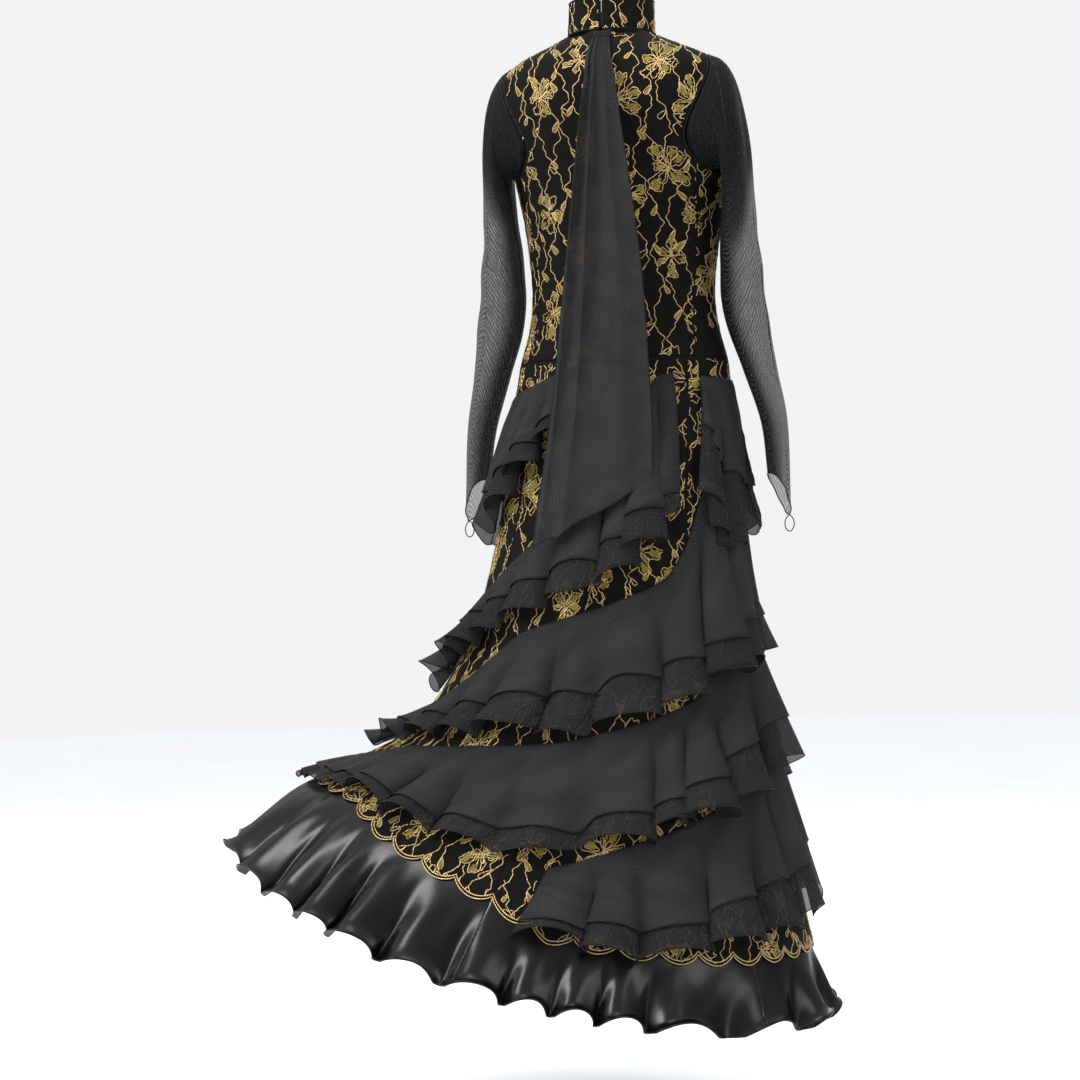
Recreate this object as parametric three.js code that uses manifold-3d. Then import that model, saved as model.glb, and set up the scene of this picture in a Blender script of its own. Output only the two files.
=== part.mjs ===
// Ballroom dance gown: fitted lace bodice with a stand collar, sheer sleeves, a back float hung from
// the neck, a flared lace skirt with two-layer diagonal flounces and a satin hem flounce.
// Millimetres, +Z up. The origin is the centre of the neck seam. The wearer faces -Y and the wearer's
// left is +X. Angles run round the body from the wearer's left side (0) to the centre back (90).
import * as THREE from "three";
import { mergeVertices } from "three/addons/utils/BufferGeometryUtils.js";
import Module from "manifold-3d";

const wasm = await Module();
wasm.setup();

// ---- Driving dimensions -------------------------------------------------------------------------
const torsoDrop = 483; // neck seam down to the hip seam
const neckHalf = 66;
const neckFront = 58;
const neckBack = 58;
const shoulderHalf = 178;
const chestHalf = 165;
const waistHalf = 141;
const hipHalf = 160;
const bustFront = 148;
const waistFront = 122;
const hipFront = 127;
const waistBack = 45; // centre back of the waist, behind the origin
const backArcRadius = 590; // hollow of the back, which the zip follows
const bladeRise = 11; // the shoulder blades stand this far behind the top of the hollow
const zipTopDrop = 140;

const skirtDropRight = 962; // hip seam down to the hem
const skirtDropLeft = 722; // the left side is lifted
const hemReachLeft = 600;
const hemReachRight = 310;
const hemReachBack = 345;
const hemReachFront = 270;

const collarHeight = 50;
const armholeTop = 35;
const armholeBottom = 205;
const armholeHalfDepth = 56;
const sleeveDrop = 655; // neck level down to the wrist edge
const sleevePoint = 62; // the edge runs on down to a point over the hand
const floatDropRight = 675;
const floatDropLeft = 758;

const laceThick = 1.2;
const liningThick = 0.6;
const chiffonThick = 1.0;
const meshThick = 1.2;
const satinThick = 1.2;
const seatGap = 0.5; // between two layers sewn face to face
const layerGap = 1.0; // between flounces that hang over each other
const overGap = 1.2; // more between the two layers of one flounce
const seamGap = 0.4; // between two pieces sewn edge to edge
const backEdge = 4.5; // each back panel stops this far from the centre line
const hemFoldDepth = 16;
const hemFolds = 15;
const flounceFlare = 15;

const columnStep = 9; // degrees between the columns of the skirt and its flounces
const armholeSides = 16;

// ---- Small helpers ------------------------------------------------------------------------------
const radians = (degrees) => (degrees * Math.PI) / 180;
const mix = (a, b, t) => a + (b - a) * t;
const vector = (x, y, z) => new THREE.Vector3(x, y, z);

/** Index of the span of stations that holds x. */
function spanOf(stations, x) {
  let i = 0;
  while (i < stations.length - 2 && x > stations[i + 1]) i += 1;
  return i;
}

/** Smooth curve through the values at rising stations, held level past the ends. */
function curve(stations, values, at) {
  const last = stations.length - 1;
  const x = Math.min(Math.max(at, stations[0]), stations[last]);
  const step = (i) => stations[i + 1] - stations[i];
  const rise = (i) => (values[i + 1] - values[i]) / step(i);
  const slope = (i) => {
    if (i === 0) return rise(0);
    if (i === last) return rise(last - 1);
    return (rise(i - 1) * step(i) + rise(i) * step(i - 1)) / (step(i - 1) + step(i));
  };
  const i = spanOf(stations, x);
  const h = step(i);
  const t = (x - stations[i]) / h;
  const t2 = t * t;
  const t3 = t2 * t;
  const start = (2 * t3 - 3 * t2 + 1) * values[i] + (t3 - 2 * t2 + t) * h * slope(i);
  const end = (3 * t2 - 2 * t3) * values[i + 1] + (t3 - t2) * h * slope(i + 1);
  return start + end;
}

/** Straight lines through the values at rising stations. */
function polyline(stations, values, x) {
  const i = spanOf(stations, x);
  const t = (x - stations[i]) / (stations[i + 1] - stations[i]);
  return mix(values[i], values[i + 1], Math.min(Math.max(t, 0), 1));
}

/** A point of a surface moved out along its normal; u runs round the body and v runs down it. */
function offsetPoint(surface, u, v, distance, stepU, stepV) {
  const across = surface(u + stepU, v).sub(surface(u - stepU, v));
  const down = surface(u, v + stepV).sub(surface(u, v - stepV));
  const normal = down.cross(across).normalize();
  return surface(u, v).addScaledVector(normal, distance);
}

/** Geometry from corner points and triangles, with its faces turned outwards. */
function closedGeometry(points, triangles) {
  let volume = 0;
  for (const [a, b, c] of triangles) {
    volume += points[a].dot(points[b].clone().cross(points[c]));
  }
  const faces = volume < 0 ? triangles.map(([a, b, c]) => [a, c, b]) : triangles;
  const geometry = new THREE.BufferGeometry();
  const flat = points.flatMap((p) => p.toArray());
  geometry.setAttribute("position", new THREE.Float32BufferAttribute(flat, 3));
  geometry.setIndex(faces.flat());
  return geometry;
}

/** A thin solid between two sheets of points, outside(i, j) and inside(i, j); a ring joins its ends. */
function sheetSolid(columns, rows, outside, inside, ring = false) {
  const wide = ring ? columns : columns + 1;
  const points = [];
  for (const side of [outside, inside]) {
    for (let i = 0; i < wide; i += 1) {
      for (let j = 0; j <= rows; j += 1) points.push(side(i, j));
    }
  }
  const out = (i, j) => (i % wide) * (rows + 1) + j;
  const inn = (i, j) => wide * (rows + 1) + out(i, j);
  const triangles = [];
  const quad = (a, b, c, d) => triangles.push([a, b, c], [a, c, d]);
  for (let i = 0; i < columns; i += 1) {
    for (let j = 0; j < rows; j += 1) {
      quad(out(i, j), out(i + 1, j), out(i + 1, j + 1), out(i, j + 1));
      quad(inn(i, j), inn(i, j + 1), inn(i + 1, j + 1), inn(i + 1, j));
    }
    quad(out(i + 1, 0), out(i, 0), inn(i, 0), inn(i + 1, 0));
    quad(out(i, rows), out(i + 1, rows), inn(i + 1, rows), inn(i, rows));
  }
  for (let j = 0; j < rows && !ring; j += 1) {
    quad(out(0, j), out(0, j + 1), inn(0, j + 1), inn(0, j));
    quad(out(columns, j + 1), out(columns, j), inn(columns, j), inn(columns, j + 1));
  }
  return closedGeometry(points, triangles);
}

/** A three.js geometry as a solid that can be joined or cut. */
function solidFrom(geometry) {
  const bare = new THREE.BufferGeometry();
  bare.setAttribute("position", geometry.getAttribute("position"));
  if (geometry.index) bare.setIndex(geometry.index);
  const merged = mergeVertices(bare, 1e-4);
  return new wasm.Manifold(
    new wasm.Mesh({
      numProp: 3,
      vertProperties: new Float32Array(merged.getAttribute("position").array),
      triVerts: new Uint32Array(merged.index.array),
    }),
  );
}

function geometryFrom(solid) {
  const mesh = solid.getMesh();
  const geometry = new THREE.BufferGeometry();
  const points = new Float32Array(mesh.vertProperties);
  geometry.setAttribute("position", new THREE.BufferAttribute(points, 3));
  geometry.setIndex(new THREE.BufferAttribute(new Uint32Array(mesh.triVerts), 1));
  return geometry;
}

function joined(geometries) {
  const solids = geometries.map(solidFrom);
  return geometryFrom(solids.reduce((sum, next) => sum.add(next)));
}

function cutAway(geometry, tools) {
  return geometryFrom(tools.reduce((rest, tool) => rest.subtract(solidFrom(tool)), solidFrom(geometry)));
}

function block(x0, x1, y0, y1, z0, z1) {
  const box = new THREE.BoxGeometry(x1 - x0, y1 - y0, z1 - z0);
  return box.translate((x0 + x1) / 2, (y0 + y1) / 2, (z0 + z1) / 2);
}

// ---- Materials ----------------------------------------------------------------------------------
const cloth = (color, roughness) => new THREE.MeshStandardMaterial({ color, roughness, metalness: 0 });
const laceCloth = () => cloth(0x1c1912, 0.8);
const chiffonCloth = () => cloth(0x1b1b1e, 0.85);
const meshCloth = () => cloth(0x26262a, 0.8);
const satinCloth = () => cloth(0x101012, 0.35);
const liningCloth = () => cloth(0x0d0d0f, 0.9);
const braidNet = () => cloth(0x141416, 0.5);
const zipNylon = () => cloth(0x0a0a0b, 0.5);
const blackMetal = () => new THREE.MeshStandardMaterial({ color: 0x1a1a1c, roughness: 0.4, metalness: 0.9 });

const gown = new THREE.Group();

function addTo(parent, name, geometry, material) {
  const mesh = new THREE.Mesh(geometry, material);
  mesh.name = name;
  parent.add(mesh);
  return mesh;
}

const add = (name, geometry, material) => addTo(gown, name, geometry, material);

// ---- Body shape ---------------------------------------------------------------------------------
const backArcZ = -0.745 * torsoDrop; // height of the deepest point of the hollow back
const backPivotY = waistBack + backArcRadius;
const zipTopZ = -zipTopDrop;
const zipBottomZ = -torsoDrop + 13;

/** Centre back of the hollow at height z. */
function hollowBack(z) {
  return backPivotY - Math.sqrt(backArcRadius ** 2 - (z - backArcZ) ** 2);
}

const bladeY = hollowBack(zipTopZ) + bladeRise;

/** Centre back of the bodice at height z. */
function backY(z) {
  if (z < zipTopZ) return hollowBack(z);
  const y = (share) => mix(neckBack, bladeY, share);
  const stations = [-1, -0.786, -0.57, -0.357, -0.18, 0];
  const values = [hollowBack(zipTopZ), y(0.951), bladeY, y(0.84), y(0.494), neckBack];
  return curve(stations, values, z / zipTopDrop);
}

const torsoLevels = [0, 0.031, 0.0725, 0.124, 0.186, 0.29, 0.414, 0.538, 0.6625, 0.787, 0.89, 1];
const torsoHalves = [
  neckHalf,
  mix(neckHalf, shoulderHalf, 0.28),
  mix(neckHalf, shoulderHalf, 0.68),
  mix(neckHalf, shoulderHalf, 0.93),
  shoulderHalf,
  mix(shoulderHalf, chestHalf, 0.4),
  chestHalf,
  mix(chestHalf, waistHalf, 0.4),
  mix(chestHalf, waistHalf, 0.8),
  waistHalf,
  mix(waistHalf, hipHalf, 0.26),
  hipHalf,
];
const torsoFronts = [
  neckFront,
  mix(neckFront, bustFront, 0.11),
  mix(neckFront, bustFront, 0.22),
  mix(neckFront, bustFront, 0.33),
  mix(neckFront, bustFront, 0.47),
  mix(neckFront, bustFront, 0.67),
  mix(neckFront, bustFront, 0.91),
  bustFront,
  mix(bustFront, waistFront, 0.69),
  waistFront,
  mix(waistFront, hipFront, 0.4),
  hipFront,
];

const torsoHalf = (z) => curve(torsoLevels, torsoHalves, -z / torsoDrop);
const frontY = (z) => curve(torsoLevels, torsoFronts, -z / torsoDrop);

/** Bodice surface at an angle round the body and a height. */
function torso(angle, z) {
  const back = backY(z);
  const front = frontY(z);
  const y = (back - front) / 2 + ((back + front) / 2) * Math.sin(angle);
  return vector(torsoHalf(z) * Math.cos(angle), y, z);
}

const torsoOffset = (angle, z, distance) => offsetPoint(torso, angle, z, distance, 0.01, -1);

/** Half-width of the bodice at depth y and height z. */
function torsoSide(y, z) {
  const centre = (backY(z) - frontY(z)) / 2;
  const depth = (backY(z) + frontY(z)) / 2;
  return torsoHalf(z) * Math.sqrt(Math.max(1 - ((y - centre) / depth) ** 2, 0));
}

// The skirt runs from 0 at the hip seam to 1 at the hem.
const skirtLevels = [0, 0.1, 0.22, 0.35, 0.48, 0.61, 0.73, 0.86, 1];
const spreadLeft = [0, 0.027, 0.05, 0.102, 0.205, 0.364, 0.545, 0.773, 1];
const spreadRight = [0, 0.08, 0.1, 0.147, 0.267, 0.433, 0.6, 0.787, 1];
const spreadBack = [0, 0.11, 0.207, 0.284, 0.371, 0.511, 0.651, 0.825, 1];
const spreadFront = [0, 0.021, 0.035, 0.07, 0.161, 0.3, 0.476, 0.72, 1];
const fallLeft = [0, 0.134, 0.287, 0.453, 0.619, 0.751, 0.813, 0.875, 1];
const fallRight = [0, 0.101, 0.215, 0.345, 0.475, 0.605, 0.7245, 0.86, 1];
const liftFocus = 1.6; // how closely the lift keeps to the left side

/** Skirt surface at an angle round the body and a level. */
function skirt(angle, level) {
  const reach = (shares, hip, hem) => mix(hip, hem, curve(skirtLevels, shares, level));
  const left = reach(spreadLeft, hipHalf, hemReachLeft);
  const right = reach(spreadRight, hipHalf, hemReachRight);
  const back = reach(spreadBack, backY(-torsoDrop), hemReachBack);
  const front = reach(spreadFront, hipFront, hemReachFront);
  const lift = ((1 + Math.cos(angle)) / 2) ** liftFocus;
  const fall = mix(
    skirtDropRight * curve(skirtLevels, fallRight, level),
    skirtDropLeft * curve(skirtLevels, fallLeft, level),
    lift,
  );
  const x = (left - right) / 2 + ((left + right) / 2) * Math.cos(angle);
  const y = (back - front) / 2 + ((back + front) / 2) * Math.sin(angle);
  return vector(x, y, -torsoDrop - fall);
}

const skirtOffset = (angle, level, distance) => offsetPoint(skirt, angle, level, distance, 0.01, 0.004);

// ---- Collar -------------------------------------------------------------------------------------
const collarEdge = 2.5; // each end of the collar stops this far from the centre back
const collarTopHalf = neckHalf - 2;
const collarThick = 1.5;

function collarPoint(angle, z, distance) {
  const t = z / collarHeight;
  const half = mix(neckHalf, collarTopHalf, t) + distance;
  const back = mix(neckBack, neckBack - 3, t) + distance;
  const front = mix(neckFront, neckFront + 2, t) + distance;
  return vector(half * Math.cos(angle), (back - front) / 2 + ((back + front) / 2) * Math.sin(angle), z);
}

function collar() {
  const columns = 24;
  const rows = 2;
  const open = Math.asin(collarEdge / neckHalf);
  const angle = (i) => Math.PI / 2 + open + (i / columns) * (2 * Math.PI - 2 * open);
  const height = (j) => mix(seatGap, collarHeight, j / rows);
  return sheetSolid(
    columns,
    rows,
    (i, j) => collarPoint(angle(i), height(j), 0),
    (i, j) => collarPoint(angle(i), height(j), -collarThick),
  );
}

/** A strip behind the closed edges at the centre back, with raised hooks or eyes along it. */
function fasteningStrip(side, zTop, zBottom, surfaceY, edge, fasteners) {
  const reach = 10;
  const near = 0.4;
  const rows = 10;
  const x = (i) => side * mix(near, reach, i);
  const z = (j) => mix(zTop, zBottom, j / rows);
  const strip = sheetSolid(
    1,
    rows,
    (i, j) => vector(x(i), surfaceY(z(j)), z(j)),
    (i, j) => vector(x(i), surfaceY(z(j)) - liningThick, z(j)),
  );
  const pieces = [strip];
  const ends = [side * (near + 0.1), side * (edge - 0.5)].sort((a, b) => a - b);
  for (let k = 0; k < fasteners; k += 1) {
    const at = mix(zTop, zBottom, (k + 0.5) / fasteners);
    const y = surfaceY(at) - liningThick;
    pieces.push(block(ends[0], ends[1], y - 0.4, y + 1.6, at - 1.5, at + 1.5));
  }
  return joined(pieces);
}

// ---- Bodice -------------------------------------------------------------------------------------
const princessTop = -armholeBottom + 65; // the side panels run up into the armhole
const princessMeet = -armholeBottom + 105;

/** Angle from the side line to the long seam of the front and back panels. */
function princess(z) {
  if (z > princessTop) {
    const share = (z - princessTop) / (princessMeet - princessTop);
    return radians(mix(40, 0, Math.min(share, 1)));
  }
  const stations = [-torsoDrop, mix(-torsoDrop, princessTop, 0.31), mix(-torsoDrop, princessTop, 0.67), princessTop];
  return radians(curve(stations, [38, 31, 34, 40], z));
}

/** Heights from high to low, each used once. */
const fallingOnce = (heights) => [...new Set(heights)].sort((a, b) => b - a);

const upperHeights = [0, -12, -30, -60, -100, princessTop, zipTopZ, mix(princessTop, -armholeBottom, 0.5)];
const lowerHeights = [0.414, 0.538, 0.6625, 0.787, 0.89].map((share) => -share * torsoDrop);
const panelHeights = fallingOnce([...upperHeights, ...lowerHeights, -torsoDrop + seatGap]);
const sideTop = mix(princessTop, princessMeet, 0.8);
const sideHeights = fallingOnce([sideTop, ...panelHeights.filter((z) => z <= princessTop)]);
const inLining = (z) => z < -20 && z > -torsoDrop + 20;
const liningHeights = panelHeights.filter(inLining);
const liningSideHeights = fallingOnce([sideTop, ...liningHeights.filter((z) => z <= princessTop)]);
const frontColumns = 14;
const backColumns = 6;

/** One panel between two angles that change with height. */
function panel(heights, columns, from, to, outer, thick) {
  const angle = (i, z) => mix(from(z), to(z), i / columns);
  return sheetSolid(
    columns,
    heights.length - 1,
    (i, j) => torsoOffset(angle(i, heights[j]), heights[j], -outer),
    (i, j) => torsoOffset(angle(i, heights[j]), heights[j], -outer - thick),
  );
}

/** The cutter of one armhole: an oval bar through the side of the bodice. */
function armholeTool(side) {
  const bar = new THREE.CylinderGeometry(1, 1, 150, armholeSides);
  bar.rotateZ(Math.PI / 2);
  bar.scale(1, armholeHalfDepth, (armholeBottom - armholeTop) / 2);
  return bar.translate(side * (neckHalf + 25 + 75), 0, -(armholeTop + armholeBottom) / 2);
}

const armholeTools = { left: armholeTool(1), right: armholeTool(-1) };
const seamAngle = seamGap / 2 / waistHalf;
const closingAngle = (z, edge) => Math.acos(edge / torsoHalf(z));
const mirrored = (angle) => Math.PI - angle;

const frontFrom = (z) => -princess(z) - seamAngle;
const frontTo = (z) => -Math.PI + princess(z) + seamAngle;

/** A point over the flat facets of the front lining. */
function frontFacet(angle, z, distance) {
  const j = spanOf(liningHeights.map((h) => -h), -z);
  const [high, low] = [liningHeights[j], liningHeights[j + 1]];
  const share = (angle - frontFrom(z)) / (frontTo(z) - frontFrom(z));
  const i = Math.floor(share * frontColumns);
  const corner = (k, h) => torsoOffset(mix(frontFrom(h), frontTo(h), k / frontColumns), h, distance);
  const s = share * frontColumns - i;
  const upper = corner(i, high).lerp(corner(i + 1, high), s);
  return upper.lerp(corner(i, low).lerp(corner(i + 1, low), s), (z - high) / (low - high));
}

/** Centre back of the faceted bodice at height z. */
const facetBackY = (z) => polyline(panelHeights.map((h) => -h), panelHeights.map(backY), -z);

function addBodice() {
  const both = [armholeTools.left, armholeTools.right];
  add("bodice_front", cutAway(panel(panelHeights, frontColumns, frontFrom, frontTo, 0, laceThick), both), laceCloth());
  const lining = laceThick + seatGap;
  const frontLining = panel(liningHeights, frontColumns, frontFrom, frontTo, lining, liningThick);
  add("lining_front", cutAway(frontLining, both), liningCloth());
  for (const side of ["left", "right"]) {
    const turn = side === "left" ? (f) => f : (f) => (z) => mirrored(f(z));
    const tool = [armholeTools[side]];
    const piece = (heights, columns, from, to, outer, thick) =>
      cutAway(panel(heights, columns, turn(from), turn(to), outer, thick), tool);
    const princessIn = (z) => princess(z) - seamAngle;
    const princessOut = (z) => princess(z) + seamAngle;
    const backLimit = (z) => closingAngle(z, backEdge);
    const liningLimit = (z) => mix(princessOut(z), backLimit(z), (backColumns - 1) / backColumns);
    const frontSide = piece(sideHeights, 4, (z) => -princessIn(z), () => -seamAngle, 0, laceThick);
    const backSide = piece(sideHeights, 4, () => seamAngle, princessIn, 0, laceThick);
    const back = piece(panelHeights, backColumns, princessOut, backLimit, 0, laceThick);
    add("bodice_side_front_" + side, frontSide, laceCloth());
    add("bodice_side_back_" + side, backSide, laceCloth());
    add("bodice_back_" + side, back, laceCloth());
    const sideLining = piece(liningSideHeights, 8, (z) => -princessIn(z), princessIn, lining, liningThick);
    const backLining = piece(liningHeights, backColumns - 1, princessOut, liningLimit, lining, liningThick);
    add("lining_side_" + side, sideLining, liningCloth());
    add("lining_back_" + side, backLining, liningCloth());
  }
}

/** A moulded cup inside the lining: thick at the middle and thin at the rim. */
function braCup(side) {
  const centreZ = -0.5 * torsoDrop;
  const centreAngle = radians(-90 + side * 27);
  const radius = 58;
  const rings = 3;
  const spokes = 14;
  const rim = 1.0;
  const middle = 6;
  const outer = laceThick + seatGap + liningThick + seatGap;
  const across = bustFront;
  const place = (r, spoke, depth) => {
    const turn = (2 * Math.PI * spoke) / spokes;
    const angle = centreAngle + (radius * r * Math.cos(turn)) / across;
    return frontFacet(angle, centreZ + radius * r * Math.sin(turn), -depth);
  };
  const points = [place(0, 0, outer), place(0, 0, outer + middle)];
  for (let k = 1; k <= rings; k += 1) {
    for (let s = 0; s < spokes; s += 1) {
      const r = k / rings;
      points.push(place(r, s, outer), place(r, s, outer + mix(middle, rim, r * r)));
    }
  }
  const at = (k, s, face) => (k === 0 ? face : 2 + 2 * ((k - 1) * spokes + (s % spokes)) + face);
  const triangles = [];
  for (let s = 0; s < spokes; s += 1) {
    triangles.push([0, at(1, s, 0), at(1, s + 1, 0)], [1, at(1, s + 1, 1), at(1, s, 1)]);
    for (let k = 1; k < rings; k += 1) {
      triangles.push([at(k, s, 0), at(k + 1, s, 0), at(k + 1, s + 1, 0)]);
      triangles.push([at(k, s, 0), at(k + 1, s + 1, 0), at(k, s + 1, 0)]);
      triangles.push([at(k, s, 1), at(k + 1, s + 1, 1), at(k + 1, s, 1)]);
      triangles.push([at(k, s, 1), at(k, s + 1, 1), at(k + 1, s + 1, 1)]);
    }
    triangles.push([at(rings, s, 0), at(rings, s, 1), at(rings, s + 1, 1)]);
    triangles.push([at(rings, s, 0), at(rings, s + 1, 1), at(rings, s + 1, 0)]);
  }
  return closedGeometry(points, triangles);
}

// ---- Centre back zip ----------------------------------------------------------------------------
const zipTopTurn = Math.asin((zipTopZ - backArcZ) / backArcRadius);
const zipBottomTurn = Math.asin((zipBottomZ - backArcZ) / backArcRadius);
const tapeDepth = laceThick + 0.8; // the tape lies this far inside the bodice surface
const tapeThick = 0.5;
const coilNear = 0.6;
const coilFar = 3.2;
const sliderHalfLength = 4.5;
const sliderHalfWidth = 3.8;
const pinHeight = 3.6;
const pinRadius = 0.5;
const pullBore = 0.9;
const pullKnuckle = 1.6;
const pullLength = 14;

/** A point beside the centre line of the zip; turn is the angle up the hollow of the back. */
function zipPoint(x, distance, turn) {
  const r = backArcRadius - distance;
  return vector(x, backPivotY - r * Math.cos(turn), backArcZ + r * Math.sin(turn));
}

/** A strip that follows the zip between two distances from the centre line. */
function zipStrip(side, x0, x1, inner, outer, from = zipTopTurn, to = zipBottomTurn, rows = 12) {
  const turn = (j) => mix(from, to, j / rows);
  const x = (i) => side * mix(x0, x1, i);
  return sheetSolid(
    1,
    rows,
    (i, j) => zipPoint(x(i), outer, turn(j)),
    (i, j) => zipPoint(x(i), inner, turn(j)),
  );
}

function sliderBody() {
  const topPlate = block(-sliderHalfWidth, sliderHalfWidth, 0.5, 1.5, -sliderHalfLength, sliderHalfLength);
  const backPlate = block(-sliderHalfWidth, sliderHalfWidth, -3.9, -2.9, -sliderHalfLength, sliderHalfLength);
  const post = block(-0.25, 0.25, -3.2, 0.8, sliderHalfLength - 2, sliderHalfLength);
  const lugs = [-1, 1].map((side) => {
    const x = [side * 1.9, side * 2.7].sort((a, b) => a - b);
    return block(x[0], x[1], 1.3, pinHeight + 0.9, 0, 2);
  });
  const pin = new THREE.CylinderGeometry(pinRadius, pinRadius, 5, 10).rotateZ(Math.PI / 2);
  pin.translate(0, pinHeight, 1);
  return joined([topPlate, backPlate, post, ...lugs, pin]);
}

function pullTab() {
  const outline = new THREE.Shape();
  outline.absarc(0, 0, pullKnuckle, radians(-60), radians(240), false);
  outline.lineTo(-0.5, -pullLength);
  outline.lineTo(0.5, -pullLength);
  outline.closePath();
  const bore = new THREE.Path();
  bore.absarc(0, 0, pullBore, 0, 2 * Math.PI, true);
  outline.holes.push(bore);
  const width = 3;
  const tab = new THREE.ExtrudeGeometry(outline, { depth: width, bevelEnabled: false, curveSegments: 10 });
  tab.translate(0, 0, -width / 2);
  tab.rotateX(Math.PI / 2);
  return tab.rotateZ(Math.PI / 2);
}

function addZip() {
  for (const [name, side] of [["left", 1], ["right", -1]]) {
    add("zip_tape_" + name, zipStrip(side, 1.2, 13, -tapeDepth - tapeThick, -tapeDepth), zipNylon());
    add("zip_coil_" + name, zipStrip(side, coilNear, coilFar, -tapeDepth + 0.3, 0.1), zipNylon());
  }
  const stopLength = 4 / backArcRadius;
  const stop = zipStrip(1, -3.5, 3.5, 0.4, 1.4, zipBottomTurn + stopLength, zipBottomTurn, 1);
  add("zip_bottom_stop", stop, blackMetal());
  const sliderTurn = zipTopTurn - (sliderHalfLength + 1) / backArcRadius;
  const carriage = new THREE.Group();
  carriage.position.copy(zipPoint(0, 0, sliderTurn));
  carriage.rotation.x = -sliderTurn;
  gown.add(carriage);
  addTo(carriage, "zip_slider", sliderBody(), blackMetal());
  const hanging = new THREE.Group();
  hanging.position.set(0, pinHeight, 1);
  hanging.rotation.x = sliderTurn; // the pull hangs straight down
  carriage.add(hanging);
  addTo(hanging, "zip_pull", pullTab(), blackMetal());
}

// ---- Lace skirt ---------------------------------------------------------------------------------
const laceLevels = [0, 0.1, 0.22, 0.35, 0.48, 0.61, 0.73, 0.79];
const edgeAngles = [0, 42, 60, 90, 103, 150, 190, 270, 330, 360];
const edgeLevels = [0.83, 0.8, 0.835, 0.87, 0.9, 0.9, 0.895, 0.88, 0.85, 0.83];

/** Level of the lower edge of the lace at an angle in degrees. */
function laceEdge(degrees) {
  return polyline(edgeAngles, edgeLevels, ((degrees % 360) + 360) % 360);
}

/** A point over the flat facets of the lace skirt. */
function facetPoint(degrees, level, distance) {
  const a0 = Math.floor(degrees / columnStep) * columnStep;
  const k = spanOf(laceLevels, level);
  const s = (degrees - a0) / columnStep;
  const t = (level - laceLevels[k]) / (laceLevels[k + 1] - laceLevels[k]);
  const corner = (a, l) => skirtOffset(radians(a), l, distance);
  const upper = corner(a0, laceLevels[k]).lerp(corner(a0 + columnStep, laceLevels[k]), s);
  const lower = corner(a0, laceLevels[k + 1]).lerp(corner(a0 + columnStep, laceLevels[k + 1]), s);
  return upper.lerp(lower, t);
}

const goreNames = [
  "left_side_back",
  "left_back",
  "right_back",
  "right_side_back",
  "right_side_front",
  "right_front",
  "left_front",
  "left_side_front",
];

function laceGore(from, to) {
  const columns = (to - from) / columnStep;
  const trim = 0.08; // degrees kept clear of the neighbouring gore
  const degrees = (i) => {
    if (i === 0) return from + trim;
    return i === columns ? to - trim : from + i * columnStep;
  };
  const level = (i, j) => (j < laceLevels.length ? laceLevels[j] : laceEdge(degrees(i)));
  return sheetSolid(
    columns,
    laceLevels.length,
    (i, j) => skirtOffset(radians(degrees(i)), level(i, j), 0),
    (i, j) => skirtOffset(radians(degrees(i)), level(i, j), -laceThick),
  );
}

function addLaceSkirt() {
  const width = 360 / goreNames.length;
  goreNames.forEach((name, k) => add("skirt_" + name, laceGore(k * width, (k + 1) * width), laceCloth()));
}

// ---- Satin hem ----------------------------------------------------------------------------------
const satinTuck = 0.045; // the satin starts this share of the skirt above the lace edge
const satinInset = laceThick + 2.2;
const satinStep = 360 / hemFolds / 4;
const satinNames = ["left_side", "left_back", "right_back", "right_side", "right_front", "left_front"];
const braidTop = 0.965;

function satinPoint(degrees, level, distance) {
  const edge = laceEdge(degrees);
  const below = Math.max((level - edge) / (1 - edge), 0);
  const fold = hemFoldDepth * below * Math.sin(radians(degrees * hemFolds));
  return skirtOffset(radians(degrees), level, -satinInset * (1 - below) + fold + distance);
}

function satinPanel(from, to) {
  const columns = Math.round((to - from) / satinStep);
  const trim = 0.08;
  const degrees = (i) => {
    if (i === 0) return from + trim;
    return i === columns ? to - trim : from + i * satinStep;
  };
  const level = (i, j) => {
    const edge = laceEdge(degrees(i));
    return [edge - satinTuck, edge, mix(edge, 1, 0.4), braidTop, 1][j];
  };
  return sheetSolid(
    columns,
    4,
    (i, j) => satinPoint(degrees(i), level(i, j), 0),
    (i, j) => satinPoint(degrees(i), level(i, j), -satinThick),
  );
}

/** The braid lies on the inner face of the satin's lowest row. */
function hemBraid() {
  const inner = satinThick + 0.7;
  const place = (i, j, distance) => satinPoint(i * satinStep, mix(braidTop, 1, j), distance);
  return sheetSolid(
    360 / satinStep,
    1,
    (i, j) => place(i, j, -inner),
    (i, j) => place(i, j, -inner - 0.8),
    true,
  );
}

function addSatinHem() {
  const width = 360 / satinNames.length;
  satinNames.forEach((name, k) => {
    const from = (k - 0.5) * width;
    add("satin_hem_" + name, satinPanel(from, from + width), satinCloth());
  });
  add("hem_braid", hemBraid(), braidNet());
}

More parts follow.
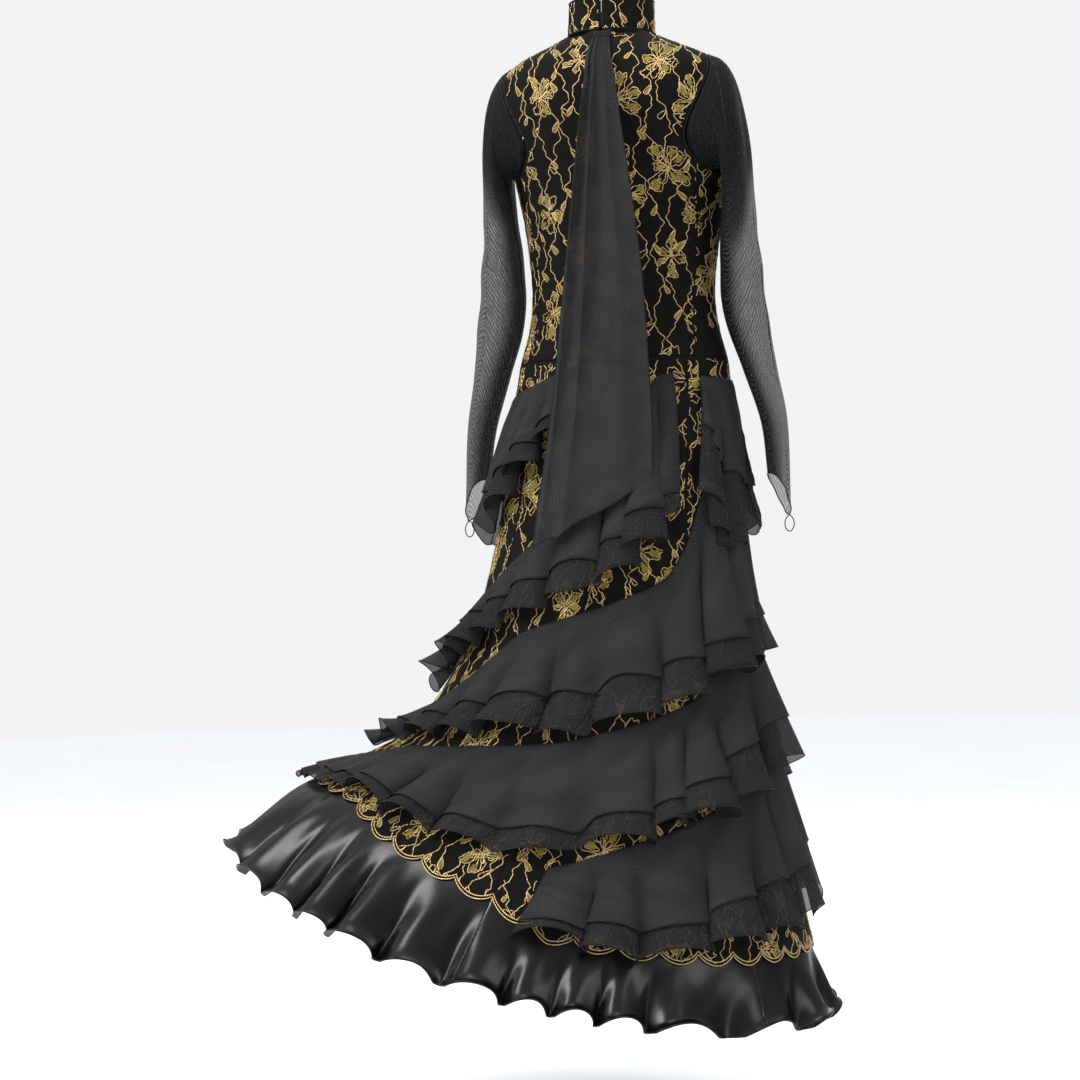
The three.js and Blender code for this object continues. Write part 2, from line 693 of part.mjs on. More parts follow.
// ---- Flounces -----------------------------------------------------------------------------------
// Each station is an angle, the level where the flounce is sewn on, and the levels of the hems of its
// short upper layer and its long lower layer. The lowest flounce comes first: each one above hangs
// over those below it.
const flounces = [
  {
    name: "fourth_flounce",
    stations: [
      [99, 0.795, 0.885, 0.905],
      [117, 0.742, 0.87, 0.905],
      [135, 0.703, 0.853, 0.885],
      [153, 0.657, 0.805, 0.865],
      [171, 0.59, 0.78, 0.85],
      [198, 0.525, 0.76, 0.83],
      [234, 0.6, 0.76, 0.81],
      [270, 0.72, 0.83, 0.86],
      [297, 0.785, 0.85, 0.87],
    ],
  },
  {
    name: "third_flounce",
    stations: [
      [-153, 0.4, 0.6, 0.66],
      [-126, 0.5, 0.66, 0.72],
      [-90, 0.63, 0.77, 0.82],
      [-54, 0.71, 0.83, 0.87],
      [-27, 0.755, 0.845, 0.885],
      [9, 0.73, 0.815, 0.85],
      [36, 0.642, 0.757, 0.79],
      [63, 0.614, 0.77, 0.8],
      [90, 0.594, 0.752, 0.787],
      [117, 0.556, 0.702, 0.742],
      [135, 0.528, 0.665, 0.705],
      [162, 0.43, 0.58, 0.655],
      [198, 0.365, 0.56, 0.63],
    ],
  },
  {
    name: "second_flounce",
    stations: [
      [-153, 0.24, 0.4, 0.46],
      [-126, 0.37, 0.5, 0.55],
      [-90, 0.47, 0.58, 0.64],
      [-45, 0.57, 0.66, 0.71],
      [0, 0.605, 0.68, 0.73],
      [36, 0.522, 0.582, 0.63],
      [63, 0.425, 0.55, 0.6],
      [99, 0.383, 0.51, 0.578],
      [117, 0.358, 0.49, 0.548],
      [126, 0.34, 0.48, 0.535],
      [135, 0.295, 0.472, 0.522],
      [144, 0.22, 0.46, 0.51],
      [153, 0.16, 0.44, 0.495],
      [162, 0.13, 0.42, 0.48],
      [198, 0.12, 0.38, 0.44],
    ],
  },
  {
    name: "first_flounce",
    stations: [
      [-162, 0.11, 0.2, 0.26],
      [-126, 0.24, 0.33, 0.38],
      [-90, 0.31, 0.4, 0.45],
      [-45, 0.4, 0.48, 0.53],
      [0, 0.43, 0.5, 0.55],
      [27, 0.37, 0.42, 0.48],
      [63, 0.28, 0.35, 0.4],
      [81, 0.222, 0.335, 0.38],
      [99, 0.11, 0.31, 0.35],
      [117, 0.03, 0.255, 0.285],
    ],
  },
  {
    name: "left_hip_flounce",
    stations: [
      [-108, 0.012, 0.07, 0.09],
      [-81, 0.03, 0.16, 0.2],
      [-45, 0.05, 0.2, 0.24],
      [0, 0.06, 0.2, 0.235],
      [27, 0.048, 0.185, 0.215],
      [45, 0.038, 0.148, 0.18],
      [72, 0.012, 0.08, 0.1],
    ],
  },
  {
    name: "right_hip_flounce",
    stations: [
      [144, 0.03, 0.1, 0.2],
      [153, 0.032, 0.17, 0.31],
      [180, 0.035, 0.2, 0.29],
      [207, 0.03, 0.19, 0.26],
      [234, 0.02, 0.1, 0.15],
    ],
  },
];
const bandRows = [0, 0.5, 1];
const hungBands = [];

/** How far a hung layer stands off the skirt in one column, or nothing where it doesn't reach. */
function standOff(band, degrees, level) {
  const column = [degrees, degrees - 360, degrees + 360].map((d) => band.get(d)).find((c) => c);
  if (!column || level < column.levels[0] || level > column.levels.at(-1)) return -Infinity;
  return polyline(column.levels, column.offsets, level);
}

/** The clearance that the layers already hung ask for over a stretch of one column. */
function clearOf(degrees, from, to, gap) {
  const samples = 8;
  let needed = 0;
  for (const band of hungBands) {
    for (const beside of [-columnStep, 0, columnStep]) {
      for (let k = 0; k <= samples; k += 1) {
        const over = standOff(band, degrees + beside, mix(from, to, k / samples));
        needed = Math.max(needed, over + chiffonThick + gap);
      }
    }
  }
  return needed;
}

/** One layer of a flounce: layer 0 is the long lower one and layer 1 the short upper one. */
function flounceLayer(stations, layer) {
  const angles = stations.map((s) => s[0]);
  const attach = stations.map((s) => s[1]);
  const hems = stations.map((s) => s[layer === 0 ? 3 : 2]);
  const start = 0.8 + layer * (chiffonThick + seatGap);
  const band = new Map();
  const columns = (angles.at(-1) - angles[0]) / columnStep;
  for (let i = 0; i <= columns; i += 1) {
    const degrees = angles[0] + i * columnStep;
    const top = polyline(angles, attach, degrees);
    const levels = bandRows.map((s) => mix(top, polyline(angles, hems, degrees), s));
    const offsets = [start];
    for (let j = 1; j < bandRows.length; j += 1) {
      const next = Math.min(j + 1, bandRows.length - 1);
      const own = start + flounceFlare * bandRows[j];
      const clear = clearOf(degrees, levels[j - 1], levels[next], layerGap + layer * overGap);
      offsets.push(Math.max(own, offsets[j - 1], clear));
    }
    band.set(degrees, { levels, offsets });
  }
  const place = (i, j, extra) => {
    const degrees = angles[0] + i * columnStep;
    const { levels, offsets } = band.get(degrees);
    if (j === 0) return facetPoint(degrees, levels[0], offsets[0] + extra);
    return skirtOffset(radians(degrees), levels[j], offsets[j] + extra);
  };
  hungBands.push(band);
  return sheetSolid(
    columns,
    bandRows.length - 1,
    (i, j) => place(i, j, chiffonThick),
    (i, j) => place(i, j, 0),
  );
}

function addFlounces() {
  for (const { name, stations } of flounces) {
    add(name + "_under", flounceLayer(stations, 0), chiffonCloth());
    add(name + "_over", flounceLayer(stations, 1), chiffonCloth());
  }
}

// ---- Back float ---------------------------------------------------------------------------------
const floatTop = -15.3;
const floatHeader = -14.2; // lower edge of the header that holds the gathers
const floatLevels = [0, 0.105, 0.5, 0.71, 0.88, 1];
const floatLeft = [9, 12, 47, 65, 78, 87];
const floatRight = [-17, -35, -69, -77, -84, -87];
const floatClear = 9; // off the shoulder blades, so that the zip slider passes under it
const floatThick = 1.5;

/** How far behind the origin the float hangs at height z. */
function floatY(z) {
  const blade = bladeY + floatClear;
  const stations = [-760, -700, -640, -560, -480, -350, -200, -110, -80, -50, floatTop];
  const values = [165, 153, 137, 121, 114, 113, 116, blade + 5, blade, blade - 7, backY(floatTop) + 0.8];
  return curve(stations, values, z);
}

function backFloat() {
  const columns = 4;
  const rows = 13;
  const place = (i, j, extra) => {
    const share = i / columns;
    const t = (j / rows) ** 1.5;
    const hem = -mix(floatDropLeft, floatDropRight, share);
    const z = mix(floatTop, hem, t);
    const x = mix(curve(floatLevels, floatLeft, t), curve(floatLevels, floatRight, t), share);
    return vector(x, floatY(z) - 10 * t * (x / 80) ** 2 + extra, z);
  };
  return sheetSolid(
    columns,
    rows,
    (i, j) => place(i, j, floatThick),
    (i, j) => place(i, j, 0),
  );
}

function floatHeaderPiece() {
  const z = (j) => mix(-3, floatHeader, j);
  const x = (i) => mix(9, -17, i);
  return sheetSolid(
    1,
    1,
    (i, j) => vector(x(i), backY(z(j)) + 3.4, z(j)),
    (i, j) => vector(x(i), backY(z(j)) + 0.6, z(j)),
  );
}

// ---- Sleeves ------------------------------------------------------------------------------------
const sleeveSides = armholeSides;
const armholeGap = 1.3;

/** Half-width of the body on one side at height z, over bodice and skirt. */
function bodySide(side, z) {
  if (z >= -torsoDrop) return torsoHalf(z);
  const angle = side > 0 ? 0 : Math.PI;
  let level = 0;
  while (level < 1 && skirt(angle, level).z > z) level += 0.01;
  return Math.abs(skirt(angle, level).x);
}

// Down the sleeve: height of its inner line, its clearance from the body, its width, the height of its
// outer line, its half-depth and how far forward it hangs.
const sleeveSections = [
  { inner: -206, clear: 3.5, outerX: shoulderHalf - 10, outer: -46, depth: 56, forward: 0 },
  { inner: -211, clear: 4.5, outerX: shoulderHalf + 6, outer: -68, depth: 57, forward: 2 },
  { inner: -219, clear: 5.5, outerX: shoulderHalf + 17, outer: -105, depth: 58, forward: 5 },
  { inner: -237, clear: 6, outerX: shoulderHalf + 25, outer: -165, depth: 58, forward: 10 },
  { inner: -268, clear: 9, width: 44, outer: -250, depth: 57, forward: 18 },
  { inner: -340, clear: 12, width: 60, outer: -335, depth: 56, forward: 26 },
  { inner: -420, clear: 14, width: 66, outer: -420, depth: 53, forward: 32 },
  { inner: -500, clear: 22, width: 50, outer: -500, depth: 50, forward: 36 },
  { inner: -580, clear: 38, width: 37, outer: -580, depth: 46, forward: 40 },
  { inner: -sleeveDrop, clear: 44, width: 31, outer: -sleeveDrop, depth: 42, forward: 43 },
];

/** A point of the sleeve: section 0 is the armhole seam; turn 0 is the outer line. */
function sleevePointAt(side, section, turn, inset) {
  const up = Math.cos(turn);
  const across = Math.sin(turn);
  if (section === 0) {
    const half = (armholeBottom - armholeTop) / 2 - armholeGap - inset;
    const y = (armholeHalfDepth - armholeGap - inset) * across;
    const z = -(armholeTop + armholeBottom) / 2 + half * up;
    return vector(side * (torsoSide(y, z) + armholeGap), y, z);
  }
  const s = sleeveSections[section - 1];
  const innerX = bodySide(side, s.inner) + s.clear;
  const outerX = s.outerX ?? innerX + s.width;
  const span = Math.hypot(outerX - innerX, s.outer - s.inner) / 2;
  const reach = (span - inset) / span;
  const x = (outerX + innerX) / 2 + ((outerX - innerX) / 2) * reach * up;
  const z = (s.outer + s.inner) / 2 + ((s.outer - s.inner) / 2) * reach * up;
  const isHem = section === sleeveSections.length;
  const point = isHem ? sleevePoint * ((1 + up) / 2) ** 1.5 : 0;
  return vector(side * x, (s.depth - inset) * across - s.forward, z - point);
}

function sleeve(side) {
  const turn = (i) => (2 * Math.PI * i) / sleeveSides;
  return sheetSolid(
    sleeveSides,
    sleeveSections.length,
    (i, j) => sleevePointAt(side, j, turn(i), 0),
    (i, j) => sleevePointAt(side, j, turn(i), meshThick),
    true,
  );
}

/** The elastic loop that hangs from the point of a sleeve and goes over a finger. */
function fingerLoop(side) {
  const radius = 9;
  const cord = 0.8;
  const stretch = 1.3;
  const tip = sleevePointAt(side, sleeveSections.length, 0, meshThick / 2);
  const loop = new THREE.TorusGeometry(radius, cord, 6, 16);
  loop.rotateX(Math.PI / 2);
  loop.scale(0.8, 1, stretch);
  return loop.translate(tip.x, tip.y, tip.z - (radius + cord) * stretch - seatGap);
}

// ---- Assembly -----------------------------------------------------------------------------------
add("collar", collar(), laceCloth());
const collarInside = (z) => collarPoint(Math.PI / 2, z, -collarThick - 1.5).y;
const bodiceInside = (z) => facetBackY(z) - tapeDepth - 0.8;
add("collar_hook_strip", fasteningStrip(1, collarHeight - 6, 6, collarInside, collarEdge, 2), zipNylon());
add("collar_eye_strip", fasteningStrip(-1, collarHeight - 6, 6, collarInside, collarEdge, 2), zipNylon());
add("back_hook_strip", fasteningStrip(1, -8, zipTopZ + 6, bodiceInside, backEdge, 5), zipNylon());
add("back_eye_strip", fasteningStrip(-1, -8, zipTopZ + 6, bodiceInside, backEdge, 5), zipNylon());
addBodice();
add("bra_cup_left", braCup(1), liningCloth());
add("bra_cup_right", braCup(-1), liningCloth());
addZip();
addLaceSkirt();
addSatinHem();
addFlounces();
add("float_header", floatHeaderPiece(), chiffonCloth());
add("back_float", backFloat(), chiffonCloth());
for (const [name, side] of [["left", 1], ["right", -1]]) {
  add("sleeve_" + name, sleeve(side), meshCloth());
  add("finger_loop_" + name, fingerLoop(side), meshCloth());
}

export default gown;
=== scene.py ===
"""Looks of a ballroom dance gown: corded lace, sheer sleeves, chiffon flounces and a satin hem.

Sizes are in millimetres until a mesh is made, which turns them to metres. +Z is up, the origin is the
centre of the neck seam, the wearer faces -Y and the wearer's left is +X. Angles run round the body in
degrees from the wearer's left side (0) to the centre back (90).
"""

import logging
import math
from dataclasses import dataclass, field
from enum import Enum
from typing import Callable, Iterable, Sequence

import bpy
import numpy as np
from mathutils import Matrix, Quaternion, Vector


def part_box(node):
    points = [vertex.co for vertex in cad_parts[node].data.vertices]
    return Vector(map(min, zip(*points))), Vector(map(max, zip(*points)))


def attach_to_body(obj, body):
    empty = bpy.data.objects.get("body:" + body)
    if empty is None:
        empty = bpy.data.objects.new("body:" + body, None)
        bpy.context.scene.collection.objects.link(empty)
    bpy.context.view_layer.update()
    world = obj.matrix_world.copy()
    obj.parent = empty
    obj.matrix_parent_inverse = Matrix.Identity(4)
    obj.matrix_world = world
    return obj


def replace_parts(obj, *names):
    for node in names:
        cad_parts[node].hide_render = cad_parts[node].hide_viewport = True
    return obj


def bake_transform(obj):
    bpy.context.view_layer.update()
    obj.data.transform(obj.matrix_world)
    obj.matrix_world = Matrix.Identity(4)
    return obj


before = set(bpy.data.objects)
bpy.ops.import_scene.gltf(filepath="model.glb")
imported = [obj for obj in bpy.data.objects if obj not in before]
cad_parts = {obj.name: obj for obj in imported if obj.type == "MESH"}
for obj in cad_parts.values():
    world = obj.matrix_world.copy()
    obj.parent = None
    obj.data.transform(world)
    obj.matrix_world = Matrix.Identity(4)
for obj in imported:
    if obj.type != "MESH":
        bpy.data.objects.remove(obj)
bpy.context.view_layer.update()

MM = 0.001
CUT = "cut_metres"  # where a point lies on the flat cloth
log = logging.getLogger("gown")


# ---- Numbers and curves --------------------------------------------------------------------------
def mix(a, b, t):
    """Value between a and b at share t."""
    return a + (b - a) * t


def ease(t: np.ndarray) -> np.ndarray:
    """Smooth step from 0 to 1 over the same span of t."""
    t = np.clip(t, 0, 1)
    return t * t * (3 - 2 * t)


def curve(stations: Sequence[float], values: Sequence[float], at: np.ndarray) -> np.ndarray:
    """Smooth curve through values at rising stations, held level past the ends.

    Args:
        stations: where the values lie.
        values: the value at each station.
        at: where to read the curve.
    Returns:
        The curve's values, in the shape of at.
    """
    x, y = np.asarray(stations, float), np.asarray(values, float)
    step, rise = np.diff(x), np.diff(y) / np.diff(x)
    slope = np.empty_like(y)
    slope[0], slope[-1] = rise[0], rise[-1]
    slope[1:-1] = (rise[:-1] * step[:-1] + rise[1:] * step[1:]) / (step[:-1] + step[1:])
    at = np.clip(np.asarray(at, float), x[0], x[-1])
    i = np.clip(np.searchsorted(x, at, side="right") - 1, 0, len(step) - 1)
    h = step[i]
    t = (at - x[i]) / h
    start = (2 * t**3 - 3 * t**2 + 1) * y[i] + (t**3 - 2 * t**2 + t) * h * slope[i]
    return start + (3 * t**2 - 2 * t**3) * y[i + 1] + (t**3 - t**2) * h * slope[i + 1]


def wander(rng: np.random.Generator, length: float, spacing: float, at: np.ndarray) -> np.ndarray:
    """Smooth seeded noise between -1 and 1 along a line.

    Args:
        rng: the seeded source.
        length: how long the line is.
        spacing: distance between the noise's knots.
        at: where to read it.
    Returns:
        The noise at each place.
    """
    knots = max(int(length / spacing) + 2, 3)
    return curve(np.linspace(0, length, knots), rng.uniform(-1, 1, knots), at)


# ---- Meshes --------------------------------------------------------------------------------------
def grid_faces(rows: int, columns: int, ring: bool = False, first: int = 0) -> np.ndarray:
    """Quads of a grid of rows by columns of points; a ring joins the last column to the first."""
    i, j = np.meshgrid(np.arange(rows - 1), np.arange(columns if ring else columns - 1), indexing="ij")
    i, j = i.ravel(), j.ravel()
    k = (j + 1) % columns
    a = i * columns + j
    return first + np.stack([a, a + columns, (i + 1) * columns + k, i * columns + k], axis=1)


def mesh_piece(name: str, points: np.ndarray, faces: np.ndarray, cut: np.ndarray | None = None):
    """A smooth mesh object.

    Args:
        name: the piece's name.
        points: its corners in millimetres, n by 3.
        faces: corners of each face, m by 3 or m by 4.
        cut: where each corner lies on the flat cloth, in millimetres, n by 2.
    Returns:
        The new object.
    """
    points, faces = np.asarray(points, float).reshape(-1, 3), np.asarray(faces)
    used = np.unique(faces)
    renumber = np.zeros(len(points), int)
    renumber[used] = np.arange(len(used))
    faces, points = renumber[faces], points[used]
    sides = faces.shape[1]
    mesh = bpy.data.meshes.new(name)
    mesh.vertices.add(len(points))
    mesh.vertices.foreach_set("co", (points * MM).ravel())
    mesh.loops.add(faces.size)
    mesh.loops.foreach_set("vertex_index", faces.ravel())
    mesh.polygons.add(len(faces))
    mesh.polygons.foreach_set("loop_start", np.arange(0, faces.size, sides))
    mesh.update(calc_edges=True)
    mesh.polygons.foreach_set("use_smooth", np.ones(len(faces), bool))
    if cut is not None:
        flat = np.zeros((len(points), 3))
        flat[:, :2] = np.asarray(cut, float).reshape(-1, 2)[used] * MM
        mesh.attributes.new(CUT, "FLOAT_VECTOR", "POINT").data.foreach_set("vector", flat.ravel())
    mesh.validate()
    piece = bpy.data.objects.new(name, mesh)
    bpy.context.scene.collection.objects.link(piece)
    return piece


def thicken(piece, thickness: float, offset: float = 0.0):
    """Gives a sheet its thickness in millimetres; offset -1 grows it inwards, 0 both ways."""
    solid = piece.modifiers.new("cloth_thickness", "SOLIDIFY")
    solid.thickness = thickness * MM
    solid.offset = offset
    solid.use_even_offset = False
    return piece


@dataclass
class Bundle:
    """Points and faces gathered from many small shapes, for one piece."""

    points: list = field(default_factory=list)
    faces: list = field(default_factory=list)
    cuts: list = field(default_factory=list)
    count: int = 0

    def add(self, points: np.ndarray, faces: np.ndarray, cut: np.ndarray | None = None) -> None:
        """Adds one shape whose faces count from its own first point."""
        self.points.append(points)
        self.faces.append(faces + self.count)
        self.cuts.append(np.zeros((len(points), 2)) if cut is None else cut)
        self.count += len(points)

    def tube(self, path: np.ndarray, out: np.ndarray, radius: float, sides: int = 4, flat: float = 1.0,
             closed: bool = False) -> None:
        """Adds a tube along a path.

        Args:
            path: its centre line, n by 3.
            out: a direction across it at each point, n by 3.
            radius: its radius.
            sides: its number of sides.
            flat: its height along out as a share of its width.
            closed: whether its end meets its start.
        """
        if len(path) < 2:
            return
        ahead = np.roll(path, -1, 0) - np.roll(path, 1, 0) if closed else np.gradient(path, axis=0)
        ahead /= np.linalg.norm(ahead, axis=1, keepdims=True) + 1e-9
        side = np.cross(ahead, out)
        side /= np.linalg.norm(side, axis=1, keepdims=True) + 1e-9
        up = np.cross(side, ahead)
        turn = 2 * np.pi * (np.arange(sides) + 0.5) / sides
        ring = path[:, None] + radius * (
            np.cos(turn)[None, :, None] * side[:, None] + flat * np.sin(turn)[None, :, None] * up[:, None]
        )
        n = len(path)
        faces = grid_faces(n, sides, ring=True)
        if closed:
            j = np.arange(sides)
            k = (j + 1) % sides
            last = (n - 1) * sides
            faces = np.vstack([faces, np.stack([last + j, j, k, last + k], axis=1)])
        along = np.concatenate([[0], np.cumsum(np.linalg.norm(np.diff(path, axis=0), axis=1))])
        cut = np.stack([np.broadcast_to(turn * radius, (n, sides)), np.repeat(along[:, None], sides, 1)], -1)
        self.add(ring.reshape(-1, 3), faces, cut.reshape(-1, 2))

    def piece(self, name: str):
        """The piece made of all that was added."""
        return mesh_piece(name, np.vstack(self.points), np.vstack(self.faces), np.vstack(self.cuts))


# ---- Colours and materials -----------------------------------------------------------------------
def linear(code: str) -> tuple[float, float, float, float]:
    """Linear colour of an sRGB hex value such as "1a1a1c"."""
    channels = [int(code[i : i + 2], 16) / 255 for i in (0, 2, 4)]
    return (*[c / 12.92 if c <= 0.04045 else ((c + 0.055) / 1.055) ** 2.4 for c in channels], 1.0)


def add_node(tree, kind: str, settings: dict | None = None, inputs: dict | None = None):
    """Adds a node with its settings and links.

    Args:
        tree: the material's node tree.
        kind: the node's type.
        settings: the node's own properties.
        inputs: a socket to link from, or a plain value, for each input name or number.
    Returns:
        The new node.
    """
    node = tree.nodes.new(kind)
    for key, value in (settings or {}).items():
        setattr(node, key, value)
    for key, value in (inputs or {}).items():
        if isinstance(value, bpy.types.NodeSocket):
            tree.links.new(value, node.inputs[key])
        else:
            node.inputs[key].default_value = value
    return node


def ramp(tree, factor, stops: Sequence[tuple[float, str]]):
    """Colour output of a ramp over (place, sRGB hex) stops."""
    node = add_node(tree, "ShaderNodeValToRGB", inputs={"Fac": factor})
    elements = node.color_ramp.elements
    while len(elements) < len(stops):
        elements.new(0.5)
    for element, (place, code) in zip(elements, stops):
        element.position, element.color = place, linear(code)
    return node.outputs["Color"]


class Thread(Enum):
    """Which way a line pattern runs over the flat cloth."""

    WARP = "X"
    WEFT = "Y"
    BIAS = "DIAGONAL"


@dataclass(frozen=True)
class Finish:
    """What every finish has: its name and the look of its surface."""

    name: str
    light: str  # sRGB hex of the raised threads, painted lighter as highlight
    dark: str  # sRGB hex of the hollows, painted darker as shade
    roughness: float
    metallic: float = 0.0
    sheen: float = 0.0
    alpha: float = 1.0
    specular: float = 0.5
    coat: float = 0.0
    thread: float = 1.0  # mm between threads
    grain: float = 20.0  # mm between the cloudy changes of colour
    bump: float = 0.25

    def place(self, tree):
        """Socket of the place on the flat cloth in metres."""
        return add_node(tree, "ShaderNodeAttribute", {"attribute_name": CUT}).outputs["Vector"]

    def lines(self, tree, spacing: float, way: Thread, blur: float = 1.0):
        """Socket of lines that many millimetres apart, bent a little by noise."""
        wave = add_node(
            tree,
            "ShaderNodeTexWave",
            {"wave_type": "BANDS", "bands_direction": way.value},
            {"Vector": self.place(tree), "Scale": 1 / (spacing * MM) * 2 * math.pi / 20, "Distortion": blur},
        )
        wave.inputs["Detail"].default_value = 1.0
        return wave.outputs["Fac"]

    def noise(self, tree, spacing: float, detail: float = 3.0, vector=None):
        """Socket of noise whose blotches are that many millimetres across."""
        node = add_node(
            tree,
            "ShaderNodeTexNoise",
            inputs={"Vector": vector or self.place(tree), "Scale": 1 / (spacing * MM), "Detail": detail},
        )
        return node.outputs["Fac"]

    def mixed(self, tree, a, b, share: float = 0.5):
        """Socket of a weighted mean of two number sockets."""
        part = add_node(tree, "ShaderNodeMath", {"operation": "MULTIPLY"}, {0: a, 1: 1 - share})
        rest = add_node(tree, "ShaderNodeMath", {"operation": "MULTIPLY"}, {0: b, 1: share})
        both = add_node(tree, "ShaderNodeMath", {"operation": "ADD"},
                        {0: part.outputs[0], 1: rest.outputs[0]})
        return both.outputs[0]

    def pattern(self, tree):
        """Socket of the height of the cloth's threads; a plain weave of warp and weft."""
        warp = self.lines(tree, self.thread, Thread.WARP)
        weft = self.lines(tree, self.thread, Thread.WEFT)
        return self.mixed(tree, warp, weft)

    def colour(self, tree, height):
        """Socket of the colour, in slow clouds: the raised threads are painted light and the hollows dark, a
        painted highlight and shade at thread scale; on a net the dark holes are also the black backing.
        """
        clouds = self.noise(tree, self.grain)
        return ramp(tree, self.mixed(tree, height, clouds, 0.55), [(0.25, self.dark), (0.75, self.light)])

    def relief(self, tree, height):
        """Socket of the height that the light picks out."""
        return height

    def finish_shader(self, tree, shader, height) -> None:
        """Settings that only some finishes have."""

    def material(self):
        """The finish as a Blender material, made once."""
        found = bpy.data.materials.get(self.name)
        if found:
            return found
        made = bpy.data.materials.new(self.name)
        made.use_nodes = True
        tree = made.node_tree
        shader = tree.nodes["Principled BSDF"]
        height = self.pattern(tree)
        tree.links.new(self.colour(tree, height), shader.inputs["Base Color"])
        wear = self.noise(tree, self.grain * 0.6)
        rough = add_node(
            tree,
            "ShaderNodeMapRange",
            inputs={"Value": wear, "To Min": self.roughness - 0.06, "To Max": self.roughness + 0.06},
        )
        tree.links.new(rough.outputs[0], shader.inputs["Roughness"])
        shader.inputs["Metallic"].default_value = self.metallic
        shader.inputs["Specular IOR Level"].default_value = self.specular
        shader.inputs["Sheen Weight"].default_value = self.sheen
        shader.inputs["Sheen Roughness"].default_value = 0.5
        shader.inputs["Coat Weight"].default_value = self.coat
        shader.inputs["Alpha"].default_value = self.alpha
        bump = add_node(
            tree,
            "ShaderNodeBump",
            inputs={"Height": self.relief(tree, height), "Strength": self.bump,
                    "Distance": self.thread * 0.3 * MM},
        )
        tree.links.new(bump.outputs[0], shader.inputs["Normal"])
        self.finish_shader(tree, shader, height)
        return made


@dataclass(frozen=True)
class NetFinish(Finish):
    """Lace ground: a net of round holes over black backing."""

    def pattern(self, tree):
        """Socket of the net's height, from the edges between its round cells."""
        cells = add_node(
            tree,
            "ShaderNodeTexVoronoi",
            {"feature": "DISTANCE_TO_EDGE"},
            {"Vector": self.place(tree), "Scale": 1 / (self.thread * MM)},
        )
        node = add_node(
            tree,
            "ShaderNodeMapRange",
            inputs={"Value": cells.outputs["Distance"], "From Max": 0.25, "To Min": 1.0, "To Max": 0.0},
        )
        return node.outputs[0]


@dataclass(frozen=True)
class TwistFinish(Finish):
    """Cord or wire: lines that run round it at a slant."""

    def place(self, tree):
        """Socket of the place in the gown's own frame in metres."""
        return add_node(tree, "ShaderNodeTexCoord").outputs["Object"]

    def pattern(self, tree):
        """Socket of the twist's height."""
        return self.lines(tree, self.thread, Thread.BIAS, 2.0)


@dataclass(frozen=True)
class FilledFinish(Finish):
    """Embroidered fill of a petal: satin stitches that all lie one way."""

    def pattern(self, tree):
        """Socket of the stitches' height."""
        return self.lines(tree, self.thread, Thread.BIAS, 1.5)


@dataclass(frozen=True)
class CrepeFinish(Finish):
    """Chiffon: hard-twisted threads that pucker into a fine, cloudy crepe."""

    def pattern(self, tree):
        """Socket of the crepe's height: the weave broken up by fine noise."""
        warp = self.lines(tree, self.thread, Thread.WARP, 3.0)
        weft = self.lines(tree, self.thread, Thread.WEFT, 3.0)
        return self.mixed(tree, self.mixed(tree, warp, weft), self.noise(tree, self.thread * 2.5), 0.4)

    def colour(self, tree, height):
        """Socket of the colour: slow clouds, in which the weave hardly shows."""
        share = self.mixed(tree, height, self.noise(tree, self.grain), 0.93)
        return ramp(tree, share, [(0.25, self.dark), (0.75, self.light)])

    def relief(self, tree, height):
        """Socket of the soft puckers, wider than the weave."""
        return self.noise(tree, self.thread * 7, 1.0)


@dataclass(frozen=True)
class SheerKnitFinish(Finish):
    """Power mesh: a knit whose holes let light through, denser in slow bands where it is stretched."""

    open_alpha: float = 0.2
    band: float = 9.0  # mm between the bands that two crossing knits make
    dense_across: float = 62.0  # mm each side of the underarm seam where the knit lies slack and dense
    dense_down: float = 190.0  # mm below the armhole where it is doubled

    def finish_shader(self, tree, shader, height) -> None:
        """Opens the knit's holes."""
        bands = self.lines(tree, self.band, Thread.WEFT, 5.0)
        sight = add_node(
            tree,
            "ShaderNodeMapRange",
            inputs={
                "Value": self.mixed(tree, height, bands, 0.4),
                "From Min": 0.15,
                "From Max": 0.85,
                "To Min": self.open_alpha,
                "To Max": self.alpha,
            },
        )
        across = add_node(tree, "ShaderNodeSeparateXYZ", inputs={0: self.place(tree)})
        turned = add_node(tree, "ShaderNodeMath", {"operation": "ABSOLUTE"}, {0: across.outputs["X"]})
        inner = self.between(tree, turned.outputs[0], self.dense_across, 0.75 * self.dense_across)
        upper = self.between(tree, across.outputs["Y"], self.dense_down, 0.5 * self.dense_down)
        dense = add_node(tree, "ShaderNodeMath", {"operation": "MAXIMUM"}, {0: inner, 1: upper})
        more = add_node(tree, "ShaderNodeMath", {"operation": "MULTIPLY"}, {0: dense.outputs[0], 1: 0.45})
        both = add_node(tree, "ShaderNodeMath", {"operation": "ADD", "use_clamp": True},
                        {0: sight.outputs[0], 1: more.outputs[0]})
        tree.links.new(both.outputs[0], shader.inputs["Alpha"])

    def relief(self, tree, height):
        """Socket of the knit's slow waves."""
        return self.noise(tree, self.thread * 5, 1.0)

    def between(self, tree, value, end: float, width: float):
        """Socket that falls from 1 to 0 over a width in millimetres that ends at a place."""
        node = add_node(tree, "ShaderNodeMapRange", {"interpolation_type": "SMOOTHSTEP"}, {
            "Value": value, "From Min": (end - width) * MM, "From Max": end * MM, "To Min": 1.0,
            "To Max": 0.0})
        return node.outputs[0]


@dataclass(frozen=True)
class MouldedFinish(Finish):
    """Nylon or painted metal: fine noise and no threads."""

    def place(self, tree):
        """Socket of the place in the gown's own frame in metres."""
        return add_node(tree, "ShaderNodeTexCoord").outputs["Object"]

    def pattern(self, tree):
        """Socket of the surface's fine grain."""
        return self.noise(tree, self.thread, 4.0)


